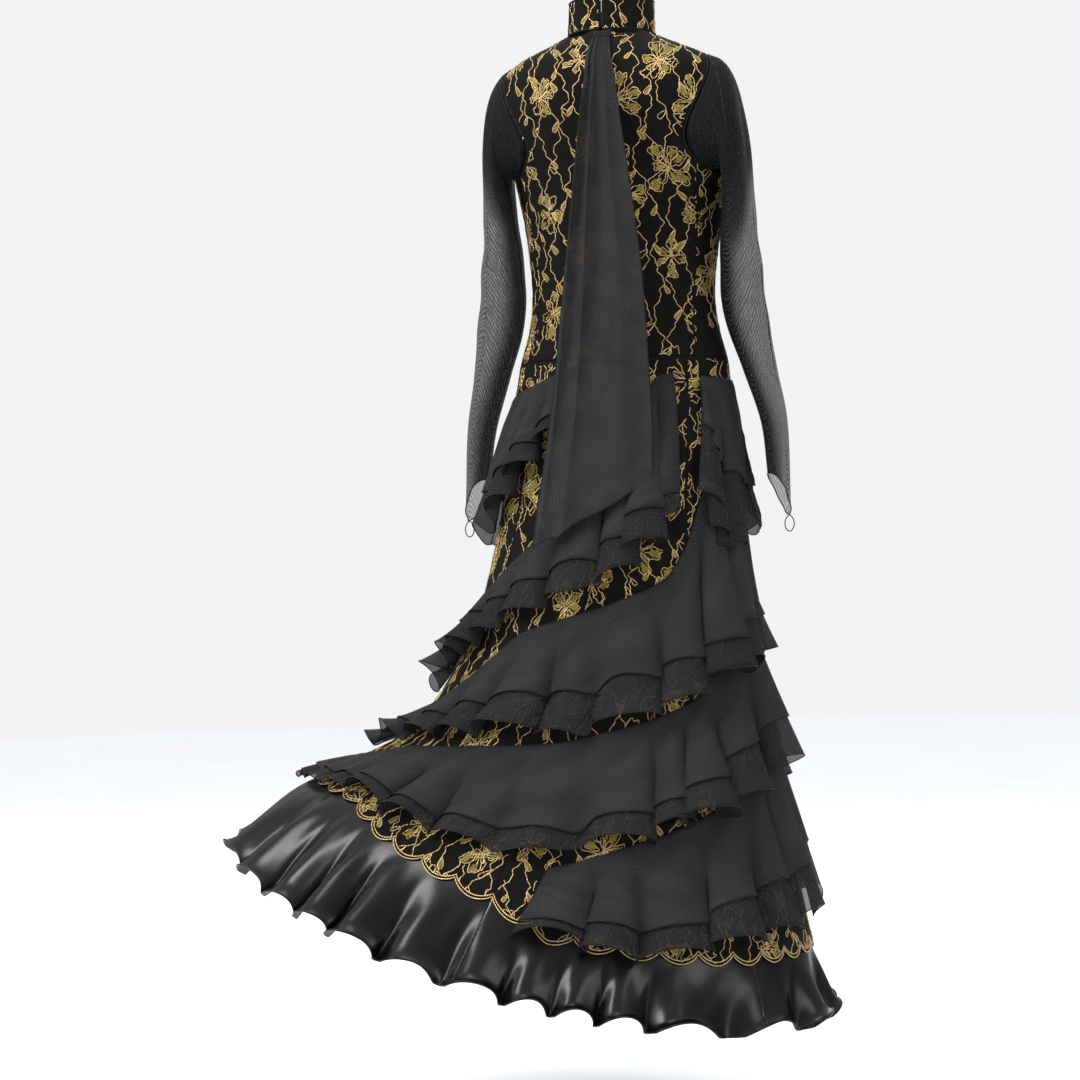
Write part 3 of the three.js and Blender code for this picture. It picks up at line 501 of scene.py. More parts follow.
# Raschel lace on a black backing: the 1.2 mm net is drawn at 2.4 mm, so that it shows.
LACE_GROUND = NetFinish("raschel_lace_net", "100e0c", "050504", 0.8, sheen=0.01, specular=0.1, thread=2.4,
                        grain=35, bump=0.4)
# Gimp cord wrapped in metallised film: its colour paints pale gold highlights on the raised twist and in
# small clouds, with brown painted shade between them.
GOLD_CORD = TwistFinish("metallised_gimp_cord", "f0d79c", "9a7434", 0.4, metallic=0.7, thread=2.2, grain=9,
                        bump=0.6)
# Embroidered fill in dull olive lurex: its colour paints the raised stitches light as highlight and the gaps
# between them dark as shade.
PETAL_FILL = FilledFinish("olive_lurex_embroidery", "a08c34", "332b10", 0.5, metallic=0.45, thread=2.0,
                          grain=14, bump=0.8)
# Polyester chiffon: matte, see-through in one layer. The 0.25 mm weave is drawn at 1.1 mm.
CHIFFON = CrepeFinish("polyester_chiffon", "2b2b2c", "202021", 0.85, sheen=0.0, specular=0.12, alpha=0.62,
                      thread=1.1, grain=40, bump=0.07)
# Where it lies in gathers or over another layer, it reads denser.
CHIFFON_GATHERED = CrepeFinish("gathered_chiffon", "313132", "252526", 0.85, sheen=0.0, specular=0.12,
                               alpha=0.8, thread=1.1, grain=40, bump=0.07)
ROLLED_HEM = CrepeFinish("rolled_chiffon_hem", "121214", "060607", 0.7, sheen=0.02, specular=0.2,
                         thread=1.2, grain=20, bump=0.4)
# Duchesse satin: long floats give wide soft highlights.
SATIN = Finish("duchesse_satin", "08080a", "040405", 0.27, sheen=0.0, specular=0.22, coat=0.02, thread=0.9,
               grain=60, bump=0.08)
# Power mesh: the 0.8 mm knit is drawn at 1.9 mm.
POWER_MESH = SheerKnitFinish("polyamide_power_mesh", "101013", "060607", 0.75, sheen=0.02, specular=0.15,
                             alpha=0.6, open_alpha=0.16, thread=1.9, grain=30, bump=0.06, band=7.5)
LINING_KNIT = Finish("tricot_lining", "111114", "08080a", 0.78, sheen=0.03, specular=0.2, thread=1.4,
                     grain=30, bump=0.3)
BRAID_NET = NetFinish("horsehair_braid_nylon", "1c1c20", "08080a", 0.4, thread=3.0, grain=20, bump=0.6)
ELASTIC = TwistFinish("covered_elastic", "151518", "060608", 0.7, thread=1.0, grain=8, bump=0.5)
ZIP_TAPE = MouldedFinish("polyester_zip_tape", "141416", "09090b", 0.75, thread=0.8, grain=10, bump=0.4)
ZIP_COIL = TwistFinish("nylon_zip_coil", "1d1d20", "050506", 0.38, thread=1.3, grain=10, bump=0.9)
BLACK_METAL = MouldedFinish("painted_zinc_alloy", "232326", "101012", 0.36, metallic=0.4, thread=0.6,
                            grain=6, bump=0.1)
CHIFFON_BAND = CrepeFinish("gathered_chiffon_band", "1b1b1c", "0c0c0d", 0.85, sheen=0.03, specular=0.12,
                            thread=1.1, grain=12, bump=0.3)
PAPER = MouldedFinish("matt_seamless_paper", "f4f5f6", "eceef0", 0.9, thread=4, grain=300, bump=0.02)


def dress(piece, finish: Finish):
    """Gives a piece its finish."""
    piece.data.materials.clear()
    piece.data.materials.append(finish.material())
    return piece


# ---- The gown's form -----------------------------------------------------------------------------
Surface = Callable[[np.ndarray, np.ndarray], np.ndarray]


def points_of(x, y, z) -> np.ndarray:
    """Points from their three coordinates, broadcast to one shape."""
    return np.stack(np.broadcast_arrays(x, y, z), axis=-1).astype(float)


@dataclass(frozen=True)
class GownForm:
    """Bodice and skirt surfaces, from the same sizes as the CAD part."""

    torso_drop: float = 483
    neck_half: float = 66
    neck_depth: float = 58
    shoulder_half: float = 178
    chest_half: float = 165
    waist_half: float = 141
    hip_half: float = 160
    bust_front: float = 148
    waist_front: float = 122
    hip_front: float = 127
    waist_back: float = 45
    back_arc_radius: float = 590
    blade_rise: float = 11
    zip_top: float = -140
    drop_right: float = 962
    drop_left: float = 722
    reach_left: float = 600
    reach_right: float = 310
    reach_back: float = 345
    reach_front: float = 270
    armhole_top: float = 35
    armhole_bottom: float = 205
    armhole_half_depth: float = 56
    lift_focus: float = 1.6

    def hollow_back(self, z):
        """Depth of the hollow of the back at height z, where the zip lies."""
        middle = -0.745 * self.torso_drop
        return self.waist_back + self.back_arc_radius - np.sqrt(self.back_arc_radius**2 - (z - middle) ** 2)

    @property
    def blade_y(self) -> float:
        """Depth of the back over the shoulder blades."""
        return float(self.hollow_back(self.zip_top)) + self.blade_rise

    def back_y(self, z):
        """Depth of the centre back at height z."""
        z = np.asarray(z, float)
        share = np.array([0.951, 1.0, 0.84, 0.494, 0.0])
        values = [float(self.hollow_back(self.zip_top)), *mix(self.neck_depth, self.blade_y, share)]
        upper = curve([-1, -0.786, -0.57, -0.357, -0.18, 0], values, z / -self.zip_top)
        return np.where(z < self.zip_top, self.hollow_back(np.minimum(z, self.zip_top)), upper)

    def torso_half(self, z):
        """Half-width of the bodice at height z."""
        neck, shoulder, chest, waist, hip = (
            self.neck_half, self.shoulder_half, self.chest_half, self.waist_half, self.hip_half
        )
        values = [neck, mix(neck, shoulder, 0.28), mix(neck, shoulder, 0.68), mix(neck, shoulder, 0.93),
                  shoulder,
                  mix(shoulder, chest, 0.4), chest, mix(chest, waist, 0.4), mix(chest, waist, 0.8), waist,
                  mix(waist, hip, 0.26), hip]
        return curve(TORSO_LEVELS, values, -np.asarray(z, float) / self.torso_drop)

    def front_y(self, z):
        """How far the front stands before the origin at height z."""
        neck, bust, waist, hip = self.neck_depth, self.bust_front, self.waist_front, self.hip_front
        values = [*mix(neck, bust, np.array([0, 0.11, 0.22, 0.33, 0.47, 0.67, 0.91, 1])),
                  mix(bust, waist, 0.69), waist, mix(waist, hip, 0.4), hip]
        return curve(TORSO_LEVELS, values, -np.asarray(z, float) / self.torso_drop)

    def torso(self, degrees, z) -> np.ndarray:
        """Points of the bodice surface."""
        angle, back, front = np.radians(degrees), self.back_y(z), self.front_y(z)
        y = (back - front) / 2 + (back + front) / 2 * np.sin(angle)
        return points_of(self.torso_half(z) * np.cos(angle), y, z)

    def torso_side(self, y, z):
        """Half-width of the bodice at depth y and height z."""
        back, front = self.back_y(z), self.front_y(z)
        share = 1 - ((y - (back - front) / 2) / ((back + front) / 2)) ** 2
        return self.torso_half(z) * np.sqrt(np.maximum(share, 0))

    def skirt(self, degrees, level) -> np.ndarray:
        """Points of the skirt surface; level runs from 0 at the hip seam to 1 at the hem."""
        angle = np.radians(degrees)
        reach = [mix(hip, hem, curve(SKIRT_LEVELS, shares, level)) for hip, hem, shares in (
            (self.hip_half, self.reach_left, SPREAD_LEFT), (self.hip_half, self.reach_right, SPREAD_RIGHT),
            (float(self.back_y(-self.torso_drop)), self.reach_back, SPREAD_BACK),
            (self.hip_front, self.reach_front, SPREAD_FRONT))]
        left, right, back, front = reach
        lift = ((1 + np.cos(angle)) / 2) ** self.lift_focus
        fall = mix(self.drop_right * curve(SKIRT_LEVELS, FALL_RIGHT, level),
                   self.drop_left * curve(SKIRT_LEVELS, FALL_LEFT, level), lift)
        x = (left - right) / 2 + (left + right) / 2 * np.cos(angle)
        y = (back - front) / 2 + (back + front) / 2 * np.sin(angle)
        return points_of(x, y, -self.torso_drop - fall)

    def over_torso(self, degrees, z, out) -> np.ndarray:
        """Points that stand out from the bodice by a distance."""
        return self.torso(degrees, z) + normals(self.torso, degrees, z, -1.0) * np.asarray(out)[..., None]

    def over_skirt(self, degrees, level, out) -> np.ndarray:
        """Points that stand out from the skirt by a distance."""
        away = normals(self.skirt, degrees, level, 0.004)
        return self.skirt(degrees, level) + away * np.asarray(out)[..., None]

    def princess(self, z):
        """Degrees from the side line to the long seams of the front and back."""
        top, meet = -self.armhole_bottom + 65, -self.armhole_bottom + 105
        span = top + self.torso_drop
        lower = curve([-self.torso_drop, -self.torso_drop + span * 0.31, -self.torso_drop + span * 0.67, top],
                      [38, 31, 34, 40], z)
        return np.where(np.asarray(z) > top, mix(40.0, 0.0, np.clip((z - top) / (meet - top), 0, 1)), lower)

    @staticmethod
    def lace_edge(degrees):
        """Level of the lower edge of the lace."""
        return np.interp(np.asarray(degrees, float) % 360, EDGE_ANGLES, EDGE_LEVELS)


TORSO_LEVELS = [0, 0.031, 0.0725, 0.124, 0.186, 0.29, 0.414, 0.538, 0.6625, 0.787, 0.89, 1]
SKIRT_LEVELS = [0, 0.1, 0.22, 0.35, 0.48, 0.61, 0.73, 0.86, 1]
SPREAD_LEFT = [0, 0.027, 0.05, 0.102, 0.205, 0.364, 0.545, 0.773, 1]
SPREAD_RIGHT = [0, 0.08, 0.1, 0.147, 0.267, 0.433, 0.6, 0.787, 1]
SPREAD_BACK = [0, 0.11, 0.207, 0.284, 0.371, 0.511, 0.651, 0.825, 1]
SPREAD_FRONT = [0, 0.021, 0.035, 0.07, 0.161, 0.3, 0.476, 0.72, 1]
FALL_LEFT = [0, 0.134, 0.287, 0.453, 0.619, 0.751, 0.813, 0.875, 1]
FALL_RIGHT = [0, 0.101, 0.215, 0.345, 0.475, 0.605, 0.7245, 0.86, 1]
EDGE_ANGLES = [0, 42, 60, 90, 103, 150, 190, 270, 330, 360]
EDGE_LEVELS = [0.83, 0.8, 0.835, 0.87, 0.9, 0.9, 0.895, 0.88, 0.85, 0.83]


def normals(surface: Surface, degrees, down, step: float) -> np.ndarray:
    """Outward normals of a surface whose second value runs down the body by step."""
    degrees, down = np.broadcast_arrays(np.asarray(degrees, float), np.asarray(down, float))
    across = surface(degrees + 0.5, down) - surface(degrees - 0.5, down)
    along = surface(degrees, down + step) - surface(degrees, down - step)
    found = np.cross(along, across)
    return found / (np.linalg.norm(found, axis=-1, keepdims=True) + 1e-9)


FORM = GownForm()


@dataclass
class FlatMap:
    """Lays flat cloth on a surface round a middle line, at its real size."""

    surface: Surface
    middle: Callable[[np.ndarray], np.ndarray]
    rows: np.ndarray
    reach: float  # degrees each side of the middle

    def __post_init__(self) -> None:
        """Measures the surface along its rows and down its middle line."""
        self.rows = np.asarray(self.rows, float)
        turn = np.linspace(-self.reach, self.reach, 161)
        degrees = self.middle(self.rows)[:, None] + turn[None]
        points = self.surface(degrees, np.broadcast_to(self.rows[:, None], degrees.shape))
        arc = np.cumsum(np.linalg.norm(np.diff(points, axis=1), axis=2), axis=1)
        arc = np.hstack([np.zeros((len(self.rows), 1)), arc])
        arc -= arc[:, [80]]
        self.wide = np.linspace(arc.min(), arc.max(), 321)
        self.degrees = np.array([np.interp(self.wide, a, d) for a, d in zip(arc, degrees)])
        line = points[:, 80]
        self.down = np.concatenate([[0], np.cumsum(np.linalg.norm(np.diff(line, axis=0), axis=1))])

    def locate(self, flat: np.ndarray) -> tuple[np.ndarray, np.ndarray]:
        """Degrees and row value of flat points.

        Args:
            flat: points on the cloth, n by 2, as distance across from the middle and distance down.
        Returns:
            The degrees round the body and the row value of each point.
        """
        i = np.interp(flat[:, 1], self.down, np.arange(len(self.rows)))
        j = np.interp(flat[:, 0], self.wide, np.arange(len(self.wide)))
        i0, j0 = np.minimum(i.astype(int), len(self.rows) - 2), np.minimum(j.astype(int), len(self.wide) - 2)
        s, t = i - i0, j - j0
        table = self.degrees
        upper = mix(table[i0, j0], table[i0, j0 + 1], t)
        lower = mix(table[i0 + 1, j0], table[i0 + 1, j0 + 1], t)
        return mix(upper, lower, s), mix(self.rows[i0], self.rows[i0 + 1], s)


# ---- Corded lace ---------------------------------------------------------------------------------
@dataclass
class LacePattern:
    """Flat drawing of the lace: wandering corded lines, and flowers and leaves with filled petals."""

    seed: int
    line_gap: float = 21
    line_swing: float = 7.5
    line_repeat: float = 92
    flower_gap_across: float = 118
    flower_gap_down: float = 150
    flower_radius: float = 36
    step: float = 2.6

    def flowers(self, width: float, height: float,
                rng: np.random.Generator) -> list[tuple[float, float, float]]:
        """Centre and radius of each flower on cloth from -width to width and from 0 to height."""
        found = []
        for k, x in enumerate(np.arange(-width - 30, width + 60, self.flower_gap_across / 2)):
            start = (k % 2) * self.flower_gap_down / 2 + rng.uniform(-10, 10) - 20
            for y in np.arange(start, height + 40, self.flower_gap_down):
                size = self.flower_radius * rng.uniform(0.62, 1.08)
                found.append((x + rng.uniform(-9, 9), y + rng.uniform(-14, 14), size))
        return found

    def petal(self, length: float, width: float, turn: float, centre: tuple[float, float]) -> np.ndarray:
        """Closed outline of one petal that grows from a centre in a direction."""
        q = np.linspace(0, 2 * np.pi, max(int((length * 2 + width) / self.step), 10), endpoint=False)
        along = length * (0.5 - 0.5 * np.cos(q)) * (1 - 0.09 * np.exp(-(((q - np.pi) / 0.35) ** 2)))
        across = width / 2 * np.sin(q) * (0.72 - 0.34 * np.cos(q))
        c, s = math.cos(turn), math.sin(turn)
        return np.stack([centre[0] + along * c - across * s, centre[1] + along * s + across * c], axis=1)

    def ruffled(self, outline: np.ndarray, rng: np.random.Generator, size: float) -> np.ndarray:
        """A closed outline with small uneven scallops."""
        q = np.linspace(0, 2 * np.pi, len(outline), endpoint=False)
        middle = outline.mean(axis=0)
        bumps = np.sin(rng.integers(4, 7) * q + rng.uniform(0, 6)) + 0.6 * np.sin(9 * q + rng.uniform(0, 6))
        out = outline - middle
        return outline + out / (np.linalg.norm(out, axis=1, keepdims=True) + 1e-6) * (size * bumps)[:, None]

    def draw(self, width: float, height: float):
        """Draws the lace over a piece of cloth.

        Args:
            width: half its width.
            height: its height.
        Returns:
            Open lines, closed outlines, and filled petals, as lists of n by 2 points.
        """
        rng = np.random.default_rng(self.seed)
        flowers = self.flowers(width, height, rng)
        lines, outlines, petals = [], [], []
        for x, y, size in flowers:
            count = int(rng.integers(6, 9))
            turn = rng.uniform(0, 2 * math.pi)
            for k in range(count):
                way = turn + 2 * math.pi * k / count + rng.uniform(-0.3, 0.3)
                long = size * (0.86 + 0.3 * abs(math.sin(way))) * rng.uniform(0.7, 1.1)
                wide = long * rng.uniform(0.45, 0.75)
                root = (x + rng.uniform(-3, 6) * math.cos(way), y + rng.uniform(-3, 8) * math.sin(way))
                outline = self.petal(long, wide, way, root)
                outlines.append(self.ruffled(outline, rng, 1.5))
                if rng.random() < 0.8:
                    at = rng.uniform(0.25, 0.45)
                    inner = (root[0] + at * long * math.cos(way), root[1] + at * long * math.sin(way))
                    petals.append(self.ruffled(self.petal(long * 0.56, wide * 0.66, way, inner), rng, 1.1))
                if rng.random() < 0.75:
                    inner = (x + 5 * math.cos(way), y + 5 * math.sin(way))
                    vein = self.petal(long * rng.uniform(0.4, 0.65), wide * 0.4,
                                      way + rng.uniform(-0.3, 0.3), inner)
                    outlines.append(self.ruffled(vein, rng, 0.9))
        centres = np.array([f[:2] for f in flowers])
        sizes = np.array([f[2] for f in flowers])
        down = np.arange(-5, height + 5, self.step)
        for k, x in enumerate(np.arange(-width - 10, width + 10, self.line_gap)):
            phase = (k % 2) * math.pi + 0.25 * math.sin(k * 1.7)
            swing = self.line_swing * np.sin(2 * np.pi * down / self.line_repeat + phase)
            swing += 2.6 * np.sin(2 * np.pi * down / 29 + rng.uniform(0, 6))
            swing += 2.6 * wander(rng, height + 10, 9, down + 5) + 1.3 * np.sin(2 * np.pi * down / 13 + k)
            line = np.stack([x + swing + rng.uniform(-2, 2), down], axis=1)
            away = np.linalg.norm(line[:, None] - centres[None], axis=2)
            free = (away > sizes[None] * (0.5 + 0.35 * (k % 3 == 0))).all(axis=1)
            lines += split_where(line, free)
            for at in np.arange(rng.uniform(10, 60), height, 58):
                i = int(np.clip((at + 5) / self.step, 1, len(line) - 2))
                if not free[i]:
                    continue
                side = 1 if rng.random() < 0.5 else -1
                way = math.pi / 2 + side * rng.uniform(0.4, 0.9)
                long = rng.uniform(13, 21)
                leaf = self.petal(long, long * 0.5, way, tuple(line[i]))
                outlines.append(leaf)
                if rng.random() < 0.7:
                    petals.append(self.petal(long * 0.9, long * 0.4, way, tuple(line[i])))
        return lines, outlines, petals


def split_where(path: np.ndarray, keep: np.ndarray, least: int = 3) -> list[np.ndarray]:
    """Stretches of a path where keep is true, each with at least that many points."""
    cuts = np.flatnonzero(np.diff(keep.astype(int))) + 1
    parts = np.split(np.arange(len(path)), cuts)
    return [path[p] for p in parts if len(p) >= least and keep[p[0]]]


@dataclass
class LaceOverlay:
    """Raised cords and filled petals of one lace piece."""

    name: str
    flat: FlatMap
    inside: Callable[[np.ndarray, np.ndarray], np.ndarray]
    over: Callable[[np.ndarray, np.ndarray, np.ndarray], np.ndarray]
    step: float  # change of the row value that runs down the surface
    pattern: LacePattern
    half_width: float
    height: float
    cord_radius: float = 0.68

    def build(self) -> list:
        """Cords and petals as two pieces, on the surface and clipped at its edges."""
        lines, outlines, petals = self.pattern.draw(self.half_width, self.height)
        cords, fills = Bundle(), Bundle()
        for k, path in enumerate([*lines, *outlines]):
            closed = k >= len(lines)
            if closed:
                path = np.vstack([path, path[:1]])
            degrees, row = self.flat.locate(path)
            for part in split_where(np.column_stack([degrees, row]), self.inside(degrees, row)):
                centre = self.over(part[:, 0], part[:, 1], np.full(len(part), self.cord_radius * 0.35))
                out = normals(self.flat.surface, part[:, 0], part[:, 1], self.step)
                cords.tube(centre, out, self.cord_radius, flat=0.75)
        for k, outline in enumerate(petals):
            degrees, row = self.flat.locate(outline)
            if not self.inside(degrees, row).all():
                continue
            n = len(outline)
            middle = outline.mean(axis=0)
            half = (outline + middle) / 2
            flat = np.vstack([outline, half, middle[None]])
            degrees, row = self.flat.locate(flat)
            lift = np.concatenate([np.full(n, 0.25), np.full(n, 0.75), [0.85]]) + 0.04 * (k % 5)
            points = self.over(degrees, row, lift)
            i = np.arange(n)
            j = (i + 1) % n
            rim = np.vstack([np.stack([i, j, n + j], 1), np.stack([i, n + j, n + i], 1)])
            cap = np.stack([n + i, n + j, np.full(n, 2 * n)], 1)
            fills.add(points, np.vstack([rim, cap]), flat)
        made = []
        if cords.count:
            made.append(dress(cords.piece(self.name + "_gold_cord"), GOLD_CORD))
        if fills.count:
            made.append(dress(fills.piece(self.name + "_petals"), PETAL_FILL))
        for piece in made:
            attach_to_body(piece, GOWN)
        return made


GOWN = "gown"


def sheet_area(points: np.ndarray) -> float:
    """Area of a grid of points in square millimetres."""
    a, b = points[1:, :-1] - points[:-1, :-1], points[:-1, 1:] - points[:-1, :-1]
    c, d = points[1:, :-1] - points[1:, 1:], points[:-1, 1:] - points[1:, 1:]
    return float((np.linalg.norm(np.cross(a, b), axis=2) + np.linalg.norm(np.cross(c, d), axis=2)).sum() / 2)


def grid_cut(points: np.ndarray) -> np.ndarray:
    """Flat place of each point of a grid, from the lengths along its rows and columns."""
    across = np.linalg.norm(np.diff(points, axis=1), axis=2)
    down = np.linalg.norm(np.diff(points, axis=0), axis=2)
    u = np.hstack([np.zeros((len(points), 1)), np.cumsum(across, axis=1)])
    v = np.vstack([np.zeros((1, points.shape[1])), np.cumsum(down, axis=0)])
    return np.stack([u - u.mean(axis=1, keepdims=True), v], axis=-1).reshape(-1, 2)


# ---- Collar and bodice ---------------------------------------------------------------------------
@dataclass
class Collar:
    """Stand collar of lace that closes at the centre back."""

    height: float = 50
    gap: float = 2.5  # each end stops this far from the centre line
    seat: float = 0.5
    thickness: float = 1.2

    def surface(self, degrees, down) -> np.ndarray:
        """Points of the collar's outer face; down is the distance under its top edge."""
        angle = np.radians(degrees)
        t = np.clip(1 - np.asarray(down) / self.height, 0, 1)
        half = mix(FORM.neck_half, FORM.neck_half - 2, t)
        back = mix(FORM.neck_depth, FORM.neck_depth - 3, t)
        front = mix(FORM.neck_depth, FORM.neck_depth + 2, t)
        y = (back - front) / 2 + (back + front) / 2 * np.sin(angle)
        return points_of(half * np.cos(angle), y, self.height - np.asarray(down, float))

    def over(self, degrees, down, out) -> np.ndarray:
        """Points that stand out from the collar."""
        away = normals(self.surface, degrees, down, 1.0)
        return self.surface(degrees, down) + away * np.asarray(out)[..., None]

    def build(self) -> None:
        """Makes the band, its lace cords and its bound top edge."""
        open_degrees = math.degrees(math.asin(self.gap / FORM.neck_half))
        degrees = np.linspace(90 + open_degrees, 450 - open_degrees, 150)
        down = np.linspace(0, self.height - self.seat, 16)
        points = self.surface(degrees[None], down[:, None])
        band = mesh_piece("collar_lace", points, grid_faces(*points.shape[:2]), grid_cut(points))
        dress(thicken(band, self.thickness, -1), LACE_GROUND)
        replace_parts(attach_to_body(band, GOWN), "collar")
        rows = np.linspace(0, self.height, 12)
        flat = FlatMap(self.surface, lambda r: np.full(len(r), 270.0), rows, 179)
        overlay = LaceOverlay(
            "collar", flat, lambda d, r: (d > 92.5) & (d < 447.5) & (r > 0.5) & (r < self.height - 1),
            self.over, 1.0, LacePattern(7, line_gap=19, flower_radius=24, flower_gap_across=95), 205,
            self.height,
        )
        trims = overlay.build()
        edge = Bundle()
        for path in (points[0], points[-1] + [0, 0, 0.6]):
            edge.tube(path, np.broadcast_to([0.0, 0.0, 1.0], path.shape), 1.0, 6)
        binding = dress(edge.piece("collar_edge_cord"), ROLLED_HEM)
        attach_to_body(binding, GOWN)


@dataclass
class Bodice:
    """Long lace panels over a lining, with moulded cups and bound armholes."""

    lace: float = 1.0
    lining: float = 0.6
    back_edge: float = 4.5
    slit_depth: float = 7.5  # the yoke dips this far under the collar beside the centre back
    cell: float = 4.2

    def armhole_share(self, points: np.ndarray) -> np.ndarray:
        """Distance of points from the armhole's middle, as a share of its oval."""
        middle = -(FORM.armhole_top + FORM.armhole_bottom) / 2
        half = (FORM.armhole_bottom - FORM.armhole_top) / 2
        share = np.hypot(points[:, 1] / FORM.armhole_half_depth, (points[:, 2] - middle) / half)
        return np.where(np.abs(points[:, 0]) > FORM.neck_half + 25, share, 9.0)

    def cut_armholes(self, points: np.ndarray, faces: np.ndarray, out: float) -> np.ndarray:
        """Cuts both armholes out of a panel.

        Args:
            points: the panel's points, n by 3, which move onto the ovals where they cross.
            faces: the panel's faces.
            out: how far the panel stands out from the bodice surface.
        Returns:
            The faces that stay.
        """
        share = self.armhole_share(points)
        within = share < 1
        crossing = faces[within[faces].any(axis=1) & ~within[faces].all(axis=1)]
        moved = np.unique(crossing[within[crossing]])
        middle = np.array([0, -(FORM.armhole_top + FORM.armhole_bottom) / 2])
        at = middle + (points[moved, 1:] - middle) / share[moved, None]
        side = np.sign(points[moved, 0])
        points[moved, 1:] = at
        points[moved, 0] = side * (FORM.torso_side(at[:, 0], at[:, 1]) + out)
        within[moved] = False
        return faces[~within[faces].any(axis=1)]

    def slit(self, degrees):
        """How far the top edge of the yoke lies under the neck seam."""
        away = np.abs(np.asarray(degrees) - 90)
        return self.slit_depth * ease((away - 11) / 9) * ease((52 - away) / 14)

    def panel(self, name: str, start: Surface, end: Surface, top: float, bottom: float, out: float,
              finish: Finish, thickness: float, node: str, slits: bool = False):
        """One panel between two angles that change with height.

        Args:
            name: the piece's name.
            start: degrees of its first edge at each height.
            end: degrees of its last edge at each height.
            top: its highest point.
            bottom: its lowest point.
            out: how far its outer face stands out from the bodice surface.
            finish: its cloth.
            thickness: its thickness.
            node: the CAD node that it stands for.
            slits: whether its top edge dips under the collar.
        Returns:
            The piece and the area of its cloth.
        """
        z = np.linspace(top, bottom, int((top - bottom) / self.cell) + 2)
        first, last = start(z), end(z)
        widest = np.abs(last - first).max() * math.radians(1) * FORM.chest_half
        share = np.linspace(0, 1, int(widest / self.cell) + 2)
        degrees = mix(first[:, None], last[:, None], share[None])
        heights = np.broadcast_to(z[:, None], degrees.shape)
        if slits:
            heights = heights - self.slit(degrees) * np.clip((heights + 60) / 60, 0, 1)
        points = FORM.over_torso(degrees, heights, np.full(degrees.shape, out))
        area = sheet_area(points)
        cut = grid_cut(points)
        flat_points = points.reshape(-1, 3)
        faces = grid_faces(*degrees.shape)
        if first[-1] > last[-1]:
            faces = faces[:, ::-1]
        faces = self.cut_armholes(flat_points, faces, out)
        piece = mesh_piece(name, flat_points, faces, cut)
        dress(thicken(piece, thickness, -1), finish)
        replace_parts(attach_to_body(piece, GOWN), node)
        return piece, area

    def overlay(self, name: str, middle: float, inside, half_width: float, seed: int) -> list:
        """Cords and petals of one panel, drawn from a middle line down the body."""
        z = np.linspace(0, -FORM.torso_drop, 100)
        reach = 92.0

        def kept(degrees, heights):
            """Whether points lie on the panel, off its edges and slits."""
            points = FORM.torso(degrees, heights)
            return inside(degrees, heights) & (self.armhole_share(points) > 1.03) & (heights < -2.5) & (
                heights > -FORM.torso_drop + 0.6) & (heights < -self.slit(degrees) - 1.5)

        flat = FlatMap(FORM.torso, lambda r: np.full(len(r), middle), z, reach)
        return LaceOverlay(name, flat, kept, FORM.over_torso, -1.0, LacePattern(seed), half_width,
                           505).build()

    def build(self) -> None:
        """Makes the lace panels, their cords, the linings, the cups and the armhole bindings."""
        low = -FORM.torso_drop + 0.5
        seam = math.degrees(0.2 / FORM.waist_half)
        side_top = mix(-140.0, -100.0, 0.8)

        def back_limit(z):
            """Degrees of the centre-back edge at a height."""
            return np.degrees(np.arccos(self.back_edge / FORM.torso_half(z)))

        princess = FORM.princess
        front, area = self.panel("bodice_front_lace", lambda z: -princess(z) - seam,
                                 lambda z: -180 + princess(z) + seam, 0, low, 0, LACE_GROUND,
                                 self.lace, "bodice_front")
        trims = self.overlay("bodice_front", -90,
                             lambda d, z: (d < -princess(z) - 0.4) & (d > -179.6 + princess(z)), 290, 21)
        for side, sign, seed in (("left", 1, 31), ("right", -1, 47)):
            def turned(shape, sign=sign):
                """The shape on this side of the body."""
                return shape if sign > 0 else (lambda z: 180 - shape(z))

            def unturned(degrees, sign=sign):
                """The degrees as on the wearer's left."""
                return degrees if sign > 0 else 180 - degrees

            back, area = self.panel(f"bodice_back_{side}_lace", turned(lambda z: princess(z) + seam),
                                    turned(back_limit), 0, low, 0, LACE_GROUND, self.lace,
                                    "bodice_back_" + side, slits=True)
            trims = self.overlay(
                "bodice_back_" + side, 90.0,
                lambda d, z: (unturned(d) > princess(z) + 0.4) & (unturned(d) < back_limit(z) - 0.5), 290, 11,
            )
            spans = (("front", lambda z: -princess(z) + seam, lambda z: np.full(len(z), -seam), -1),
                     ("back", lambda z: np.full(len(z), seam), lambda z: princess(z) - seam, 1))
            for name, start, end, way in spans:
                piece, area = self.panel(f"bodice_side_{name}_{side}_lace", turned(start), turned(end),
                                         side_top, low, 0, LACE_GROUND, self.lace,
                                         f"bodice_side_{name}_{side}")
                trims = self.overlay(
                    f"bodice_side_{name}_{side}", 0.0 if sign > 0 else 180.0,
                    lambda d, z, way=way: (unturned(d) * way > 0.4) & (unturned(d) * way < princess(z) - 0.4)
                    & (z < side_top), 100, seed + way,
                )
            inner = -self.lace - 0.5
            lining, area = self.panel(f"lining_side_{side}_tricot", turned(lambda z: -princess(z) + seam),
                                      turned(lambda z: princess(z) - seam), side_top, low + 20, inner,
                                      LINING_KNIT, self.lining, "lining_side_" + side)
            lining, area = self.panel(
                f"lining_back_{side}_tricot", turned(lambda z: princess(z) + seam),
                turned(lambda z: mix(princess(z), back_limit(z), 5 / 6)), -20, low + 20, inner, LINING_KNIT,
                self.lining, "lining_back_" + side,
            )
            self.cup(side, sign)
            self.binding(side, sign)
        lining, area = self.panel("lining_front_tricot", lambda z: -princess(z) - seam,
                                  lambda z: -180 + princess(z) + seam, -20, low + 20, -self.lace - 0.5,
                                  LINING_KNIT, self.lining, "lining_front")

